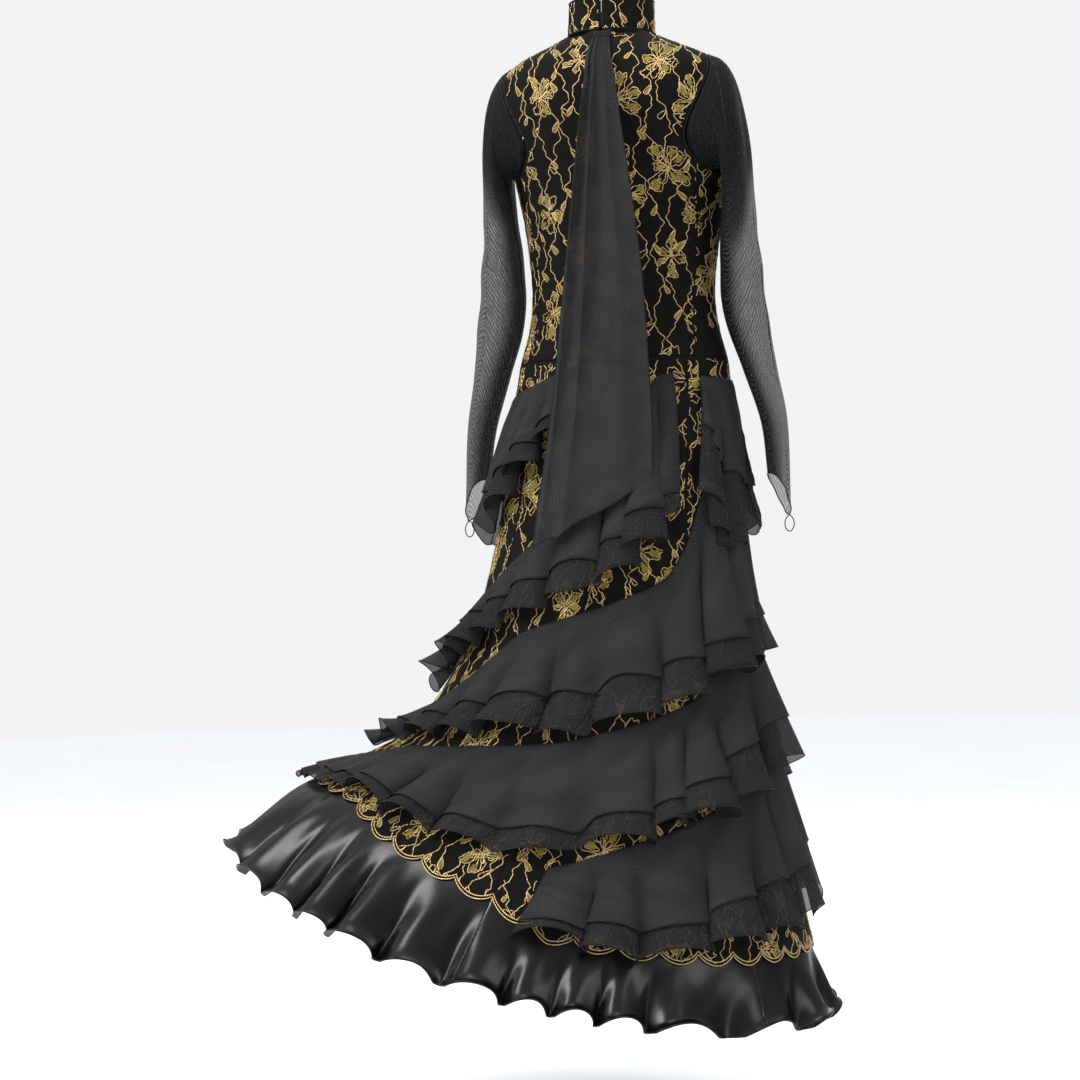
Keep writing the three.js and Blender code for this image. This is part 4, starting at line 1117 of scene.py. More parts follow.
    def cup(self, side: str, sign: int) -> None:
        """A moulded foam cup inside the front lining."""
        outer = self.lace + self.lining + 1.2
        r = np.linspace(0.02, 1, 12)
        around, radius = 40, 58
        turn = np.linspace(0, 360, around, endpoint=False)
        across = radius * r[:, None] * np.cos(np.radians(turn))[None]
        up = radius * r[:, None] * np.sin(np.radians(turn))[None]
        degrees = -90 + sign * 27 + np.degrees(across / FORM.bust_front)
        z = -0.5 * FORM.torso_drop + up
        thick = mix(5.4, 0.8, r**2)[:, None] * np.ones_like(z)
        face = FORM.over_torso(degrees, z, np.full(z.shape, -outer))
        back = FORM.over_torso(degrees, z, -outer - thick)[::-1]
        points = np.vstack([face, back])
        faces = grid_faces(*points.shape[:2], ring=True)
        total = points.shape[0] * around
        closed = np.vstack([points.reshape(-1, 3), face[0].mean(0)[None], back[-1].mean(0)[None]])
        i = np.arange(around)
        j = (i + 1) % around
        last = (points.shape[0] - 1) * around
        caps = np.vstack([np.stack([i, j, np.full(around, total)], 1),
                          np.stack([last + j, last + i, np.full(around, total + 1)], 1)])
        tris = np.vstack([faces[:, [0, 1, 2]], faces[:, [0, 2, 3]], caps])
        piece = mesh_piece(f"cup_{side}_foam", closed, tris,
                           np.vstack([np.stack([across, up], -1).reshape(-1, 2)] * 2 + [np.zeros((2, 2))]))
        dress(piece, LINING_KNIT)
        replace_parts(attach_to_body(piece, GOWN), "bra_cup_" + side)
        log.info("%s: moulded cup", piece.name)

    def binding(self, side: str, sign: int) -> None:
        """A narrow binding round the armhole."""
        turn = np.linspace(0, 2 * math.pi, 90, endpoint=False)
        y = FORM.armhole_half_depth * np.sin(turn)
        z = -120 + 85 * np.cos(turn)
        x = sign * (FORM.torso_side(y, z) + 0.2)
        path = points_of(x, y, z)
        edge = Bundle()
        edge.tube(path, np.broadcast_to([1.0 * sign, 0, 0], path.shape).copy(), 1.1, 6, closed=True)
        piece = dress(edge.piece(f"armhole_binding_{side}"), ROLLED_HEM)
        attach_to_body(piece, GOWN)
        log.info("%s: bound edge", piece.name)


# ---- Skirt ---------------------------------------------------------------------------------------
@dataclass
class LaceSkirt:
    """Eight lace gores whose lower edge is cut along the scallops of the lace."""

    gores: tuple[str, ...] = ("left_side_back", "left_back", "right_back", "right_side_back",
                              "right_side_front", "right_front", "left_front", "left_side_front")
    thickness: float = 1.0
    scallop: float = 0.016
    scallop_degrees: float = 9.0

    def edge(self, degrees):
        """Level of the scalloped lower edge."""
        wave = np.abs(np.sin(np.radians(np.asarray(degrees) * 180 / self.scallop_degrees)))
        return FORM.lace_edge(degrees) - self.scallop * 0.9 + self.scallop * wave**0.7

    def build(self) -> None:
        """Makes each gore with its cords and petals."""
        width = 360 / len(self.gores)
        for k, name in enumerate(self.gores):
            start, end = k * width, (k + 1) * width
            degrees = np.linspace(start + 0.06, end - 0.06, 91)
            t = np.linspace(0, 1, 150) ** 0.97
            level = self.edge(degrees)[None] * t[:, None]
            grid = np.broadcast_to(degrees[None], level.shape)
            points = FORM.over_skirt(grid, level, np.zeros(level.shape))
            piece = mesh_piece(f"skirt_{name}_lace", points, grid_faces(*level.shape), grid_cut(points))
            dress(thicken(piece, self.thickness, -1), LACE_GROUND)
            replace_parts(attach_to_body(piece, GOWN), "skirt_" + name)
            middle = (start + end) / 2
            flat = FlatMap(FORM.skirt, lambda r, m=middle: np.full(len(r), m), np.linspace(0, 0.93, 120),
                           width / 2 + 1)

            def inside(d, level, start=start, end=end):
                """Whether points lie on the gore, off its edges."""
                return (d > start + 0.5) & (d < end - 0.5) & (level > 0.003) & (level < self.edge(d) - 0.003)

            overlay = LaceOverlay("skirt_" + name, flat, inside, FORM.over_skirt, 0.004,
                                  LacePattern(60 + k, step=3.8), 330, 900)
            trims = overlay.build()
            border = Bundle()
            for back in (0.0, 0.005):
                path = FORM.over_skirt(degrees, self.edge(degrees) - back, np.full(len(degrees), 0.4))
                border.tube(path, normals(FORM.skirt, degrees, self.edge(degrees), 0.004), 0.9)
            trim = dress(border.piece(f"skirt_{name}_edge_cord"), GOLD_CORD)
            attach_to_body(trim, GOWN)


@dataclass
class Folds:
    """Irregular folds round the body: their phase and height at each angle."""

    degrees: np.ndarray  # where they are read, at rising angles
    arc: np.ndarray  # distance along the hem at each angle
    length: float  # mean distance between folds
    height: float  # mean height
    seed: int
    spread: float = 0.38

    def __post_init__(self) -> None:
        """Draws the folds."""
        rng = np.random.default_rng(self.seed)
        total = float(self.arc[-1] - self.arc[0]) + 1
        at = self.arc - self.arc[0]
        pace = 1 / (self.length * (1 + self.spread * wander(rng, total, self.length * 1.3, at)))
        steps = np.diff(at) * (pace[1:] + pace[:-1]) / 2
        self.phase = 2 * np.pi * (np.concatenate([[0], np.cumsum(steps)]) + rng.uniform(0, 1))
        self.rise = self.height * (1 + self.spread * wander(rng, total, self.length * 0.9, at))
        self.lean = 0.55 * wander(rng, total, self.length * 1.6, at)


def hem_arc(degrees: np.ndarray, level: np.ndarray) -> np.ndarray:
    """Distance along the skirt at a level that changes with the angle."""
    points = FORM.skirt(degrees, level)
    return np.concatenate([[0], np.cumsum(np.linalg.norm(np.diff(points, axis=0), axis=1))])


@dataclass
class SatinHem:
    """Satin flounce under the lace edge, with deep folds and a stiff curled hem."""

    names: tuple[str, ...] = ("left_side", "left_back", "right_back", "right_side", "right_front",
                              "left_front")
    tuck: float = 0.045
    inset: float = 3.4
    fold_length: float = 104
    fold_height: float = 26
    curl: float = 9
    thickness: float = 0.8

    def __post_init__(self) -> None:
        """Draws the folds once round the hem, so that they meet where they began."""
        self.degrees = np.linspace(-30, 330, 1441)
        arc = hem_arc(self.degrees, np.full(self.degrees.shape, 1.0))
        self.folds = Folds(self.degrees, arc, self.fold_length, self.fold_height, 5, 0.34)
        phase = self.folds.phase - self.folds.phase[0]
        whole = round(phase[-1] / (2 * np.pi)) * 2 * np.pi
        self.folds.phase = phase / phase[-1] * whole
        blend = ease((self.degrees + 30) / 12)
        self.folds.rise = mix(self.folds.rise[-1], self.folds.rise, blend)
        self.folds.lean = mix(self.folds.lean[-1], self.folds.lean, blend)

    def points(self, degrees: np.ndarray, share: np.ndarray, inward: float = 0.0) -> np.ndarray:
        """Points of the satin.

        Args:
            degrees: angles round the body, from -30 to 330.
            share: from 0 at its hidden top edge to 1 at the hem.
            inward: distance behind its outer face.
        Returns:
            The points, in the shape of degrees with share.
        """
        degrees, share = np.broadcast_arrays(degrees, share)
        edge = FORM.lace_edge(degrees)
        level = mix(edge - self.tuck, 1.0, share)
        below = np.clip((level - edge) / (1 - edge), 0, 1)
        phase = np.interp(degrees, self.degrees, self.folds.phase)
        rise = np.interp(degrees, self.degrees, self.folds.rise)
        lean = np.interp(degrees, self.degrees, self.folds.lean)
        phase = phase + lean * below
        grow = below**1.15
        speed = np.linalg.norm(FORM.skirt(degrees + 0.5, level) - FORM.skirt(degrees - 0.5, level), axis=-1)
        wave = -np.cos(phase) * 0.5 + 0.12 * np.cos(2 * phase + 1.3)
        out = -self.inset * (1 - below) + rise * grow * (wave + 0.12)
        curled = np.clip((below - 0.8) / 0.2, 0, 1) ** 2
        out = out + self.curl * curled * (0.55 + 0.45 * np.sin(phase * 0.5 + 1))
        turned = degrees - 0.42 * rise * grow * np.sin(phase) / speed
        level = level + grow * 0.011 * np.sin(phase + 0.9) - curled * 0.006
        ripple = 1.4 * below * (1 - below) * np.sin(phase * 2.5 + 9 * below)
        return FORM.over_skirt(turned, level, out + ripple - inward)

    def build(self) -> None:
        """Makes the six panels, the braid inside the hem and the hem's rolled edge."""
        width = 360 / len(self.names)
        share = np.concatenate([np.linspace(0, 0.85, 40), np.linspace(0.87, 1, 12)])
        edge = Bundle()
        for k, name in enumerate(self.names):
            degrees = np.linspace((k - 0.5) * width + 0.04, (k + 0.5) * width - 0.04, 200)
            points = self.points(degrees[None], share[:, None])
            piece = mesh_piece(f"satin_{name}", points, grid_faces(*points.shape[:2]), grid_cut(points))
            dress(thicken(piece, self.thickness, -1), SATIN)
            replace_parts(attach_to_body(piece, GOWN), "satin_hem_" + name)
        ring = np.linspace(-30, 330, 1200, endpoint=False)
        rows = np.linspace(self.braid_share(), 0.996, 6)
        points = self.points(ring[None], rows[:, None], inward=self.thickness + 0.7)
        braid = mesh_piece("hem_braid_nylon", points, grid_faces(*points.shape[:2], ring=True),
                           grid_cut(points))
        dress(thicken(braid, 0.8, -1), BRAID_NET)
        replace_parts(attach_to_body(braid, GOWN), "hem_braid")
        path = self.points(ring, np.full(ring.shape, 1.0), inward=self.thickness / 2)
        edge.tube(path, normals(FORM.skirt, ring, np.full(ring.shape, 1.0), 0.004), 1.7, 6, closed=True)
        hem = dress(edge.piece("satin_rolled_hem"), SATIN)
        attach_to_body(hem, GOWN)
        log.info("%s: rolled edge round the whole hem", hem.name)

    def braid_share(self) -> float:
        """Share of the satin's depth where the braid begins."""
        return 0.86

    @staticmethod
    def rests(k: int) -> str:
        """Name of a gore over satin panel k."""
        return ("left_side_back", "left_back", "right_back", "right_side_back", "right_front",
                "left_front")[k]


# ---- Flounces ------------------------------------------------------------------------------------
@dataclass
class Clearance:
    """How far the layers already hung stand out from the skirt, on a grid of angle and level."""

    per_degree: int = 1
    per_level: int = 220

    def __post_init__(self) -> None:
        """Starts with nothing hung."""
        self.field = np.zeros((360 * self.per_degree, int(self.per_level * 1.06)))

    def cells(self, degrees: np.ndarray, level: np.ndarray) -> tuple[np.ndarray, np.ndarray]:
        """Grid cell of each place."""
        i = np.round(degrees * self.per_degree).astype(int) % self.field.shape[0]
        j = np.clip(np.round(level * self.per_level).astype(int), 0, self.field.shape[1] - 1)
        return i, j

    def hang(self, degrees: np.ndarray, level: np.ndarray, out: np.ndarray) -> None:
        """Adds a layer."""
        np.maximum.at(self.field, self.cells(degrees, level), out)

    def needed(self, degrees: np.ndarray, level: np.ndarray) -> np.ndarray:
        """The most that anything stands out near each place."""
        wide = self.field
        for _ in range(2):
            wide = np.maximum.reduce([wide, np.roll(wide, 1, 0), np.roll(wide, -1, 0)])
            wide = np.maximum(wide, np.maximum(np.pad(wide, ((0, 0), (1, 0)))[:, :-1],
                                               np.pad(wide, ((0, 0), (0, 1)))[:, 1:]))
        for _ in range(2):
            smooth = (np.roll(wide, 1, 0) + np.roll(wide, -1, 0) + 2 * wide) / 4
            wide = np.maximum(smooth, wide * 0.9)
        return wide[self.cells(degrees, level)]


@dataclass
class Flounce:
    """A chiffon flounce of two layers; each station is an angle, the level where it is sewn on, and the
    levels of the hems of its short upper layer and its long lower layer."""

    name: str
    stations: Sequence[tuple[float, float, float, float]]
    seed: int
    fold_length: float = 78
    fold_height: float = 36
    flare: float = 12
    quiet: Sequence[tuple[float, float]] = ()  # stretches where a sleeve hangs, so folds stay low
    between: float = 2.4  # gap between its two layers

    def quieted(self, degrees: np.ndarray) -> np.ndarray:
        """Share of the fold height that is left at each angle."""
        left = np.ones_like(degrees)
        for start, end in self.quiet:
            left *= 1 - 0.75 * ease((degrees - start) / 10) * ease((end - degrees) / 10)
        return left

    def build(self, clearance: Clearance) -> None:
        """Makes both layers and their rolled hems, clear of what hangs under them."""
        stations = np.array(self.stations)
        degrees = np.arange(stations[0, 0], stations[-1, 0] + 0.01, 0.45)
        attach = np.interp(degrees, stations[:, 0], stations[:, 1])
        long = np.interp(degrees, stations[:, 0], stations[:, 3])
        soft = np.hanning(21)
        for values in (attach, long):
            values[:] = np.convolve(np.pad(values, 10, mode="edge"), soft / soft.sum(), "valid")
        folds = Folds(degrees, hem_arc(degrees, long), self.fold_length, self.fold_height, self.seed, 0.55)
        rng = np.random.default_rng(self.seed + 500)
        total = degrees[-1] - degrees[0]
        for layer, (kind, column) in enumerate((("under", 3), ("over", 2))):
            hem = np.interp(degrees, stations[:, 0], stations[:, column])
            hem = np.convolve(np.pad(hem, 10, mode="edge"), soft / soft.sum(), "valid")
            uneven = wander(rng, total, 7, degrees - degrees[0])
            hem = hem + (hem - attach) * 0.05 * uneven
            depth = np.median(hem - attach) * 900
            share = np.linspace(0, 1, int(np.clip(depth / 4.2, 14, 46)))
            level = mix(attach[None], hem[None], share[:, None])
            down = (level - attach) / np.maximum(long - attach, 0.02)
            grow = np.clip(down, 0, 1.1)
            rise = (folds.rise * self.quieted(degrees))[None]
            phase = folds.phase[None] + folds.lean[None] * down
            plump = 0.75 + 0.6 * (1 + np.sin(1.7 * folds.phase / np.pi + self.seed))[None]
            wave = (0.5 - 0.5 * np.cos(phase)) ** plump
            level = level - 0.011 * wave * grow**2 * (rise / 30)
            out = 1.4 + self.flare * grow * 0.8 + rise * grow * wave
            out = out + layer * (0.9 + self.between * np.clip(down * 5, 0, 1))
            speed = np.linalg.norm(FORM.skirt(degrees + 0.5, long) - FORM.skirt(degrees - 0.5, long), axis=-1)
            sideways = (0.6 + 0.04 * layer) * rise * grow * np.sin(phase) / speed[None]
            turned = np.broadcast_to(degrees[None], level.shape) - sideways
            under = clearance.needed(turned, level) + 1.9 + layer * (0.9 + self.between)
            under[0] = 0
            extra = np.maximum(under - out, 0)
            extra *= np.clip(down * 14, 0, 1)
            out = out + extra
            step = np.diff(level, axis=0) * 900
            for row in range(1, len(share)):
                out[row] = np.maximum(out[row], out[row - 1] - 0.32 * step[row - 1])
            points = FORM.over_skirt(turned, level, out)
            self.dress_layer(kind, points)
            self.hung = (turned, level, out)
            if layer == 0:
                first = self.hung
        clearance.hang(*first)
        clearance.hang(*self.hung)

    def dress_layer(self, kind: str, points: np.ndarray) -> None:
        """Makes one layer and the rolled hem round its three free edges."""
        name = f"{self.name}_{kind}"
        piece = mesh_piece(name + "_chiffon", points, grid_faces(*points.shape[:2]), grid_cut(points))
        dress(thicken(piece, 0.4), CHIFFON if kind == "under" else CHIFFON_GATHERED)
        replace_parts(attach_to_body(piece, GOWN), name)
        edge = Bundle()
        outward = points - points.mean(axis=1, keepdims=True)
        outward[..., 2] = 0
        for path, out in ((points[-1], outward[-1]), (points[2:, 0], outward[2:, 0]),
                          (points[2:, -1], outward[2:, -1])):
            edge.tube(path, out, 0.85, 5)
        hem = dress(edge.piece(name + "_rolled_hem"), ROLLED_HEM)
        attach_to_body(hem, GOWN)


FLOUNCES = (
    Flounce("fourth_flounce", (
        (99, 0.795, 0.885, 0.905), (117, 0.742, 0.87, 0.905), (135, 0.703, 0.853, 0.885),
        (153, 0.657, 0.805, 0.865), (171, 0.59, 0.78, 0.85), (198, 0.525, 0.76, 0.83),
        (234, 0.6, 0.76, 0.81), (270, 0.72, 0.83, 0.86), (297, 0.785, 0.85, 0.87)), 101),
    Flounce("third_flounce", (
        (-153, 0.4, 0.6, 0.66), (-126, 0.5, 0.66, 0.72), (-90, 0.63, 0.77, 0.82), (-54, 0.71, 0.83, 0.87),
        (-27, 0.755, 0.845, 0.885), (9, 0.73, 0.815, 0.85), (36, 0.642, 0.757, 0.79), (63, 0.614, 0.77, 0.8),
        (90, 0.594, 0.752, 0.787), (117, 0.556, 0.702, 0.742), (135, 0.528, 0.665, 0.705),
        (162, 0.43, 0.58, 0.655), (198, 0.365, 0.56, 0.63)), 102,
        quiet=((-62, 38),)),
    Flounce("second_flounce", (
        (-153, 0.24, 0.4, 0.46), (-126, 0.37, 0.5, 0.55), (-90, 0.47, 0.58, 0.64), (-45, 0.57, 0.66, 0.71),
        (0, 0.605, 0.68, 0.73), (36, 0.522, 0.582, 0.63), (63, 0.425, 0.55, 0.6), (99, 0.383, 0.51, 0.578),
        (117, 0.358, 0.49, 0.548), (126, 0.34, 0.48, 0.535), (135, 0.295, 0.472, 0.522),
        (144, 0.22, 0.46, 0.51), (153, 0.16, 0.44, 0.495), (162, 0.13, 0.42, 0.48), (198, 0.12, 0.38, 0.44)),
        103, quiet=((160, 205),)),
    Flounce("first_flounce", (
        (-162, 0.11, 0.2, 0.26), (-126, 0.24, 0.33, 0.38), (-90, 0.31, 0.4, 0.45), (-45, 0.4, 0.48, 0.53),
        (0, 0.43, 0.5, 0.55), (27, 0.37, 0.42, 0.48), (63, 0.28, 0.35, 0.4), (81, 0.222, 0.335, 0.38),
        (99, 0.11, 0.31, 0.35), (117, 0.03, 0.25, 0.28), (127, 0.026, 0.215, 0.245)), 104, fold_length=64,
        fold_height=30),
    Flounce("left_hip_flounce", (
        (-108, 0.012, 0.07, 0.09), (-81, 0.03, 0.17, 0.22), (-45, 0.05, 0.22, 0.28), (0, 0.06, 0.225, 0.29),
        (27, 0.048, 0.21, 0.27), (45, 0.038, 0.165, 0.205), (72, 0.012, 0.08, 0.1)), 105,
        fold_length=58, fold_height=26, flare=13, quiet=((-64, 18),)),
    Flounce("right_hip_flounce", (
        (144, 0.03, 0.1, 0.2), (153, 0.032, 0.17, 0.31), (180, 0.035, 0.2, 0.29), (207, 0.03, 0.19, 0.26),
        (234, 0.02, 0.1, 0.15)), 106, fold_length=58, fold_height=30, flare=15, quiet=((164, 224),)),
)


# ---- Back float ----------------------------------------------------------------------------------
@dataclass
class BackFloat:
    """Chiffon panel gathered into a header at the neck, which hangs down the back."""

    top: float = -15.3
    drop_left: float = 758
    drop_right: float = 675
    clear: float = 9
    fold_height: float = 15
    levels: tuple[float, ...] = (0, 0.105, 0.5, 0.71, 0.88, 1)
    left: tuple[float, ...] = (9, 12, 47, 65, 78, 87)
    right: tuple[float, ...] = (-17, -35, -69, -77, -84, -87)

    def depth(self, z):
        """How far behind the origin the float hangs at height z."""
        blade = FORM.blade_y + self.clear
        stations = [-760, -700, -640, -560, -480, -350, -200, -110, -80, -50, self.top]
        values = [165, 153, 137, 121, 114, 113, 116, blade + 5, blade, blade - 7,
                  float(FORM.back_y(self.top)) + 0.8]
        return curve(stations, values, z)

    def points(self, across: np.ndarray, t: np.ndarray) -> np.ndarray:
        """Points of the float.

        Args:
            across: from 0 at its left edge to 1 at its right edge.
            t: from 0 at the gathers to 1 at the hem.
        Returns:
            The points, in the shape of both together.
        """
        across, t = np.broadcast_arrays(across, t)
        hem = -mix(self.drop_left, self.drop_right, ease(across) * 0.55 + across * 0.45)
        z = mix(self.top, hem, t)
        x = mix(curve(self.levels, self.left, t), curve(self.levels, self.right, t), across)
        phase = 2 * np.pi * (3.6 * across + 0.35 * np.sin(3 * across + 1) + 0.22 * t * np.sin(5 * across))
        second = 2 * np.pi * (8.3 * across + 0.2)
        size = self.fold_height * (0.28 + 0.72 * ease(t / 0.25)) * (1 - 0.35 * ease((t - 0.5) / 0.5))
        gathered = (1 - ease(t / 0.16)) * 2.2
        wave = 0.5 - 0.5 * np.cos(phase)
        large = size * wave * (0.7 + 0.3 * np.sin(2.1 * across * np.pi + 0.6))
        out = large + gathered * (0.5 + 0.5 * np.sin(second))
        edge = ease(across / 0.1) * ease((1 - across) / 0.1)
        out = out * (0.35 + 0.65 * edge)
        sag = 2.5 * np.sin(2 * np.pi * (t * 2.3 + across)) * t * (1 - t)
        x = x - 0.32 * size * np.sin(phase) * edge * ease(t / 0.2)
        return points_of(x, self.depth(z) - 10 * t * (x / 80) ** 2 + 0.75 + out + sag,
                         z + 2.5 * t * np.cos(phase))

    def build(self) -> None:
        """Makes the float, its rolled hem and its gathered header."""
        across = np.linspace(0, 1, 110)
        t = np.linspace(0, 1, 190) ** 1.15
        points = self.points(across[None], t[:, None])
        piece = mesh_piece("back_float_chiffon", points, grid_faces(*points.shape[:2]), grid_cut(points))
        dress(thicken(piece, 0.5), CHIFFON_GATHERED)
        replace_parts(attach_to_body(piece, "back_float"), "back_float")
        edge = Bundle()
        for path in (points[-1], points[2:, 0], points[2:, -1]):
            edge.tube(path, np.broadcast_to([0.0, 1.0, 0.0], path.shape).copy(), 0.9, 5)
        hem = dress(edge.piece("back_float_rolled_hem"), ROLLED_HEM)
        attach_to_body(hem, "back_float")
        z = np.linspace(-3, -14.4, 12)
        x = np.linspace(10, -18, 60)
        swell = 1.6 * np.sqrt(np.maximum(1 - ((z + 8.7) / 6.2) ** 2, 0))[:, None]
        pleats = 0.5 * np.cos(x * 2.1)[None] * swell / 1.6
        y = FORM.back_y(z)[:, None] + 1.0 + swell + pleats
        face = points_of(x[None], y, z[:, None])
        back = points_of(x[None], np.broadcast_to(FORM.back_y(z)[:, None] + 0.6, y.shape), z[:, None])[::-1]
        both = np.vstack([face, back])
        faces = grid_faces(*both.shape[:2])
        last = (len(both) - 1) * len(x)
        j = np.arange(len(x) - 1)
        seam = np.stack([last + j, j, j + 1, last + j + 1], 1)
        band = mesh_piece("float_header_band", both, np.vstack([faces, seam]), both.reshape(-1, 3)[:, [0, 2]])
        dress(band, CHIFFON_BAND)
        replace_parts(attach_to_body(band, GOWN), "float_header")
        log.info("%s: gathered band", band.name)


# ---- Sleeves -------------------------------------------------------------------------------------
@dataclass
class Sleeve:
    """Long sheer sleeve that ends in a point with a finger loop."""

    side: str
    sign: int
    gap: float = 1.3
    sleeve_drop: float = 655
    point: float = 62
    seed: int = 0

    def sections(self) -> list[tuple[float, float, float, float, float, float]]:
        """Inner and outer x and z, half-depth and forward shift of each section down the sleeve."""
        shoulder = FORM.shoulder_half
        rows = [(-206, 3.5, shoulder - 10, None, -46, 56, 0), (-211, 4.5, shoulder + 6, None, -68, 57, 2),
                (-219, 5.5, shoulder + 17, None, -105, 58, 5), (-237, 6, shoulder + 25, None, -165, 58, 10),
                (-268, 9, None, 44, -250, 57, 18), (-340, 12, None, 60, -335, 56, 26),
                (-420, 14, None, 66, -420, 53, 32), (-500, 22, None, 50, -500, 50, 36),
                (-580, 38, None, 37, -580, 46, 40),
                (-self.sleeve_drop, 44, None, 31, -self.sleeve_drop, 42, 43)]
        made = []
        for inner_z, clear, outer_x, width, outer_z, depth, forward in rows:
            inner_x = self.body_side(inner_z) + clear
            made.append((inner_x, inner_z, outer_x or inner_x + width, outer_z, depth, forward))
        return made

    def body_side(self, z: float) -> float:
        """Half-width of the body on this side at height z, over bodice and skirt."""
        if z >= -FORM.torso_drop:
            return float(FORM.torso_half(z))
        level = np.linspace(0, 1, 101)
        side = FORM.skirt(np.full(101, 0.0 if self.sign > 0 else 180.0), level)
        return float(abs(side[np.argmax(side[:, 2] <= z), 0]))

    def grid(self) -> np.ndarray:
        """Points of the sleeve, from the armhole seam to the pointed edge, in rings."""
        turn = np.linspace(0, 2 * np.pi, 120, endpoint=False)
        up, across = np.cos(turn), np.sin(turn)
        half = (FORM.armhole_bottom - FORM.armhole_top) / 2 - self.gap
        y, z = (FORM.armhole_half_depth - self.gap) * across, -120 + half * up
        rings = [points_of(FORM.torso_side(y, z) + self.gap, y, z)]
        sections = self.sections()
        for k, (x0, z0, x1, z1, depth, forward) in enumerate(sections):
            point = self.point * ((1 + up) / 2) ** 1.5 if k == len(sections) - 1 else 0
            rings.append(points_of((x1 + x0) / 2 + (x1 - x0) / 2 * up, depth * across - forward,
                                   (z1 + z0) / 2 + (z1 - z0) / 2 * up - point))
        coarse = np.array(rings)
        stations = np.array([0, 0.035, 0.07, 0.12, 0.2, 0.3, 0.44, 0.58, 0.72, 0.86, 1.0])
        t = np.linspace(0, 1, 170)
        fine = np.stack([curve_grid(stations, coarse[..., c], t) for c in range(3)], axis=-1)
        rng = np.random.default_rng(self.seed)
        middle = fine.mean(axis=1, keepdims=True)
        outward = fine - middle
        outward[..., 2] = 0
        outward /= np.linalg.norm(outward, axis=2, keepdims=True) + 1e-9
        near_body = np.clip(-up, 0, 1)[None]
        fade = (ease(t / 0.16))[:, None]
        folds = np.zeros(fine.shape[:2])
        for count, size in ((3, 2.6), (5, 2.4), (8, 1.3)):
            drift = 1.5 * wander(rng, 1, 0.3, t)[:, None]
            folds += size * np.sin(count * turn[None] + drift + rng.uniform(0, 6)) * (
                0.6 + 0.4 * wander(rng, 1, 0.22, t)[:, None])
        elbow = ease(1 - np.abs(t - 0.45) / 0.3)[:, None]
        folds += 1.6 * np.sin(2 * np.pi * (t[:, None] * 7 + 0.6 * turn[None] / np.pi)) * elbow
        wrist = ease((t - 0.9) / 0.1)[:, None] * 1.6 * np.sin(7 * turn[None] + 1)
        folds = (folds * (1 - 0.75 * near_body) - 1.2) * fade + wrist * (1 - near_body)
        fine = fine + outward * folds[..., None]
        fine[..., 0] *= self.sign
        return fine

    def build(self) -> None:
        """Makes the sleeve, its armhole seam, its wrist hem and its finger loop."""
        points = self.grid()
        faces = grid_faces(*points.shape[:2], ring=True)
        if self.sign < 0:
            faces = faces[:, ::-1]
        body = f"sleeve_{self.side}"
        piece = mesh_piece(body + "_mesh", points, faces, grid_cut(points))
        dress(thicken(piece, 0.35, -1), POWER_MESH)
        seam, hem = Bundle(), Bundle()
        seam.tube(points[1], points[1] - points[1].mean(0), 1.1, 6, closed=True)
        path = points[-1]
        hem.tube(path, path - path.mean(0), 0.95, 6, closed=True)
        line = points[4:-1, 60]
        inner = Bundle()
        inner.tube(line, np.broadcast_to([-1.0 * self.sign, 0, 0], line.shape).copy(), 0.8, 5)
        trims = []
        for bundle, name in ((seam, "armhole_seam"), (hem, "wrist_hem"), (inner, "underarm_seam")):
            trim = dress(bundle.piece(f"{body}_{name}"), ROLLED_HEM)
            trims.append(trim)
        for part in (piece, *trims):
            if part is not piece:
                part.modifiers.clear()
            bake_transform(part)
        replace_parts(piece, body)
        self.loop()

    def loop(self) -> None:
        """The covered elastic loop under the point, knotted to it at the top."""
        node = f"finger_loop_{self.side}"
        low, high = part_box(node)
        middle, half = (np.array(low) + np.array(high)) / 2 / MM, (np.array(high) - np.array(low)) / 2 / MM
        turn = np.linspace(0, 2 * np.pi, 64, endpoint=False)
        axis_x = half[0] > half[1]
        wide = (half[0] if axis_x else half[1]) - 0.8
        x = wide * np.sin(turn) * (1 - 0.35 * np.clip(np.cos(turn), 0, 1) ** 2)
        z = (half[2] - 0.8) * np.cos(turn)
        path = np.stack([x, 0 * x, z] if axis_x else [0 * x, x, z], axis=1) + middle
        elastic = Bundle()
        out = np.broadcast_to([0.0, 1.0, 0.0] if axis_x else [1.0, 0.0, 0.0], path.shape).copy()
        elastic.tube(path, out, 0.8, 8, closed=True)
        piece = dress(elastic.piece(node + "_elastic"), ELASTIC)
        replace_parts(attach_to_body(piece, node), node)
        log.info("%s: covered elastic loop", piece.name)


def curve_grid(stations: np.ndarray, values: np.ndarray, at: np.ndarray) -> np.ndarray:
    """Smooth curves through the rows of a grid of values, read at new places down it."""
    return np.stack([curve(stations, values[:, j], at) for j in range(values.shape[1])], axis=1)


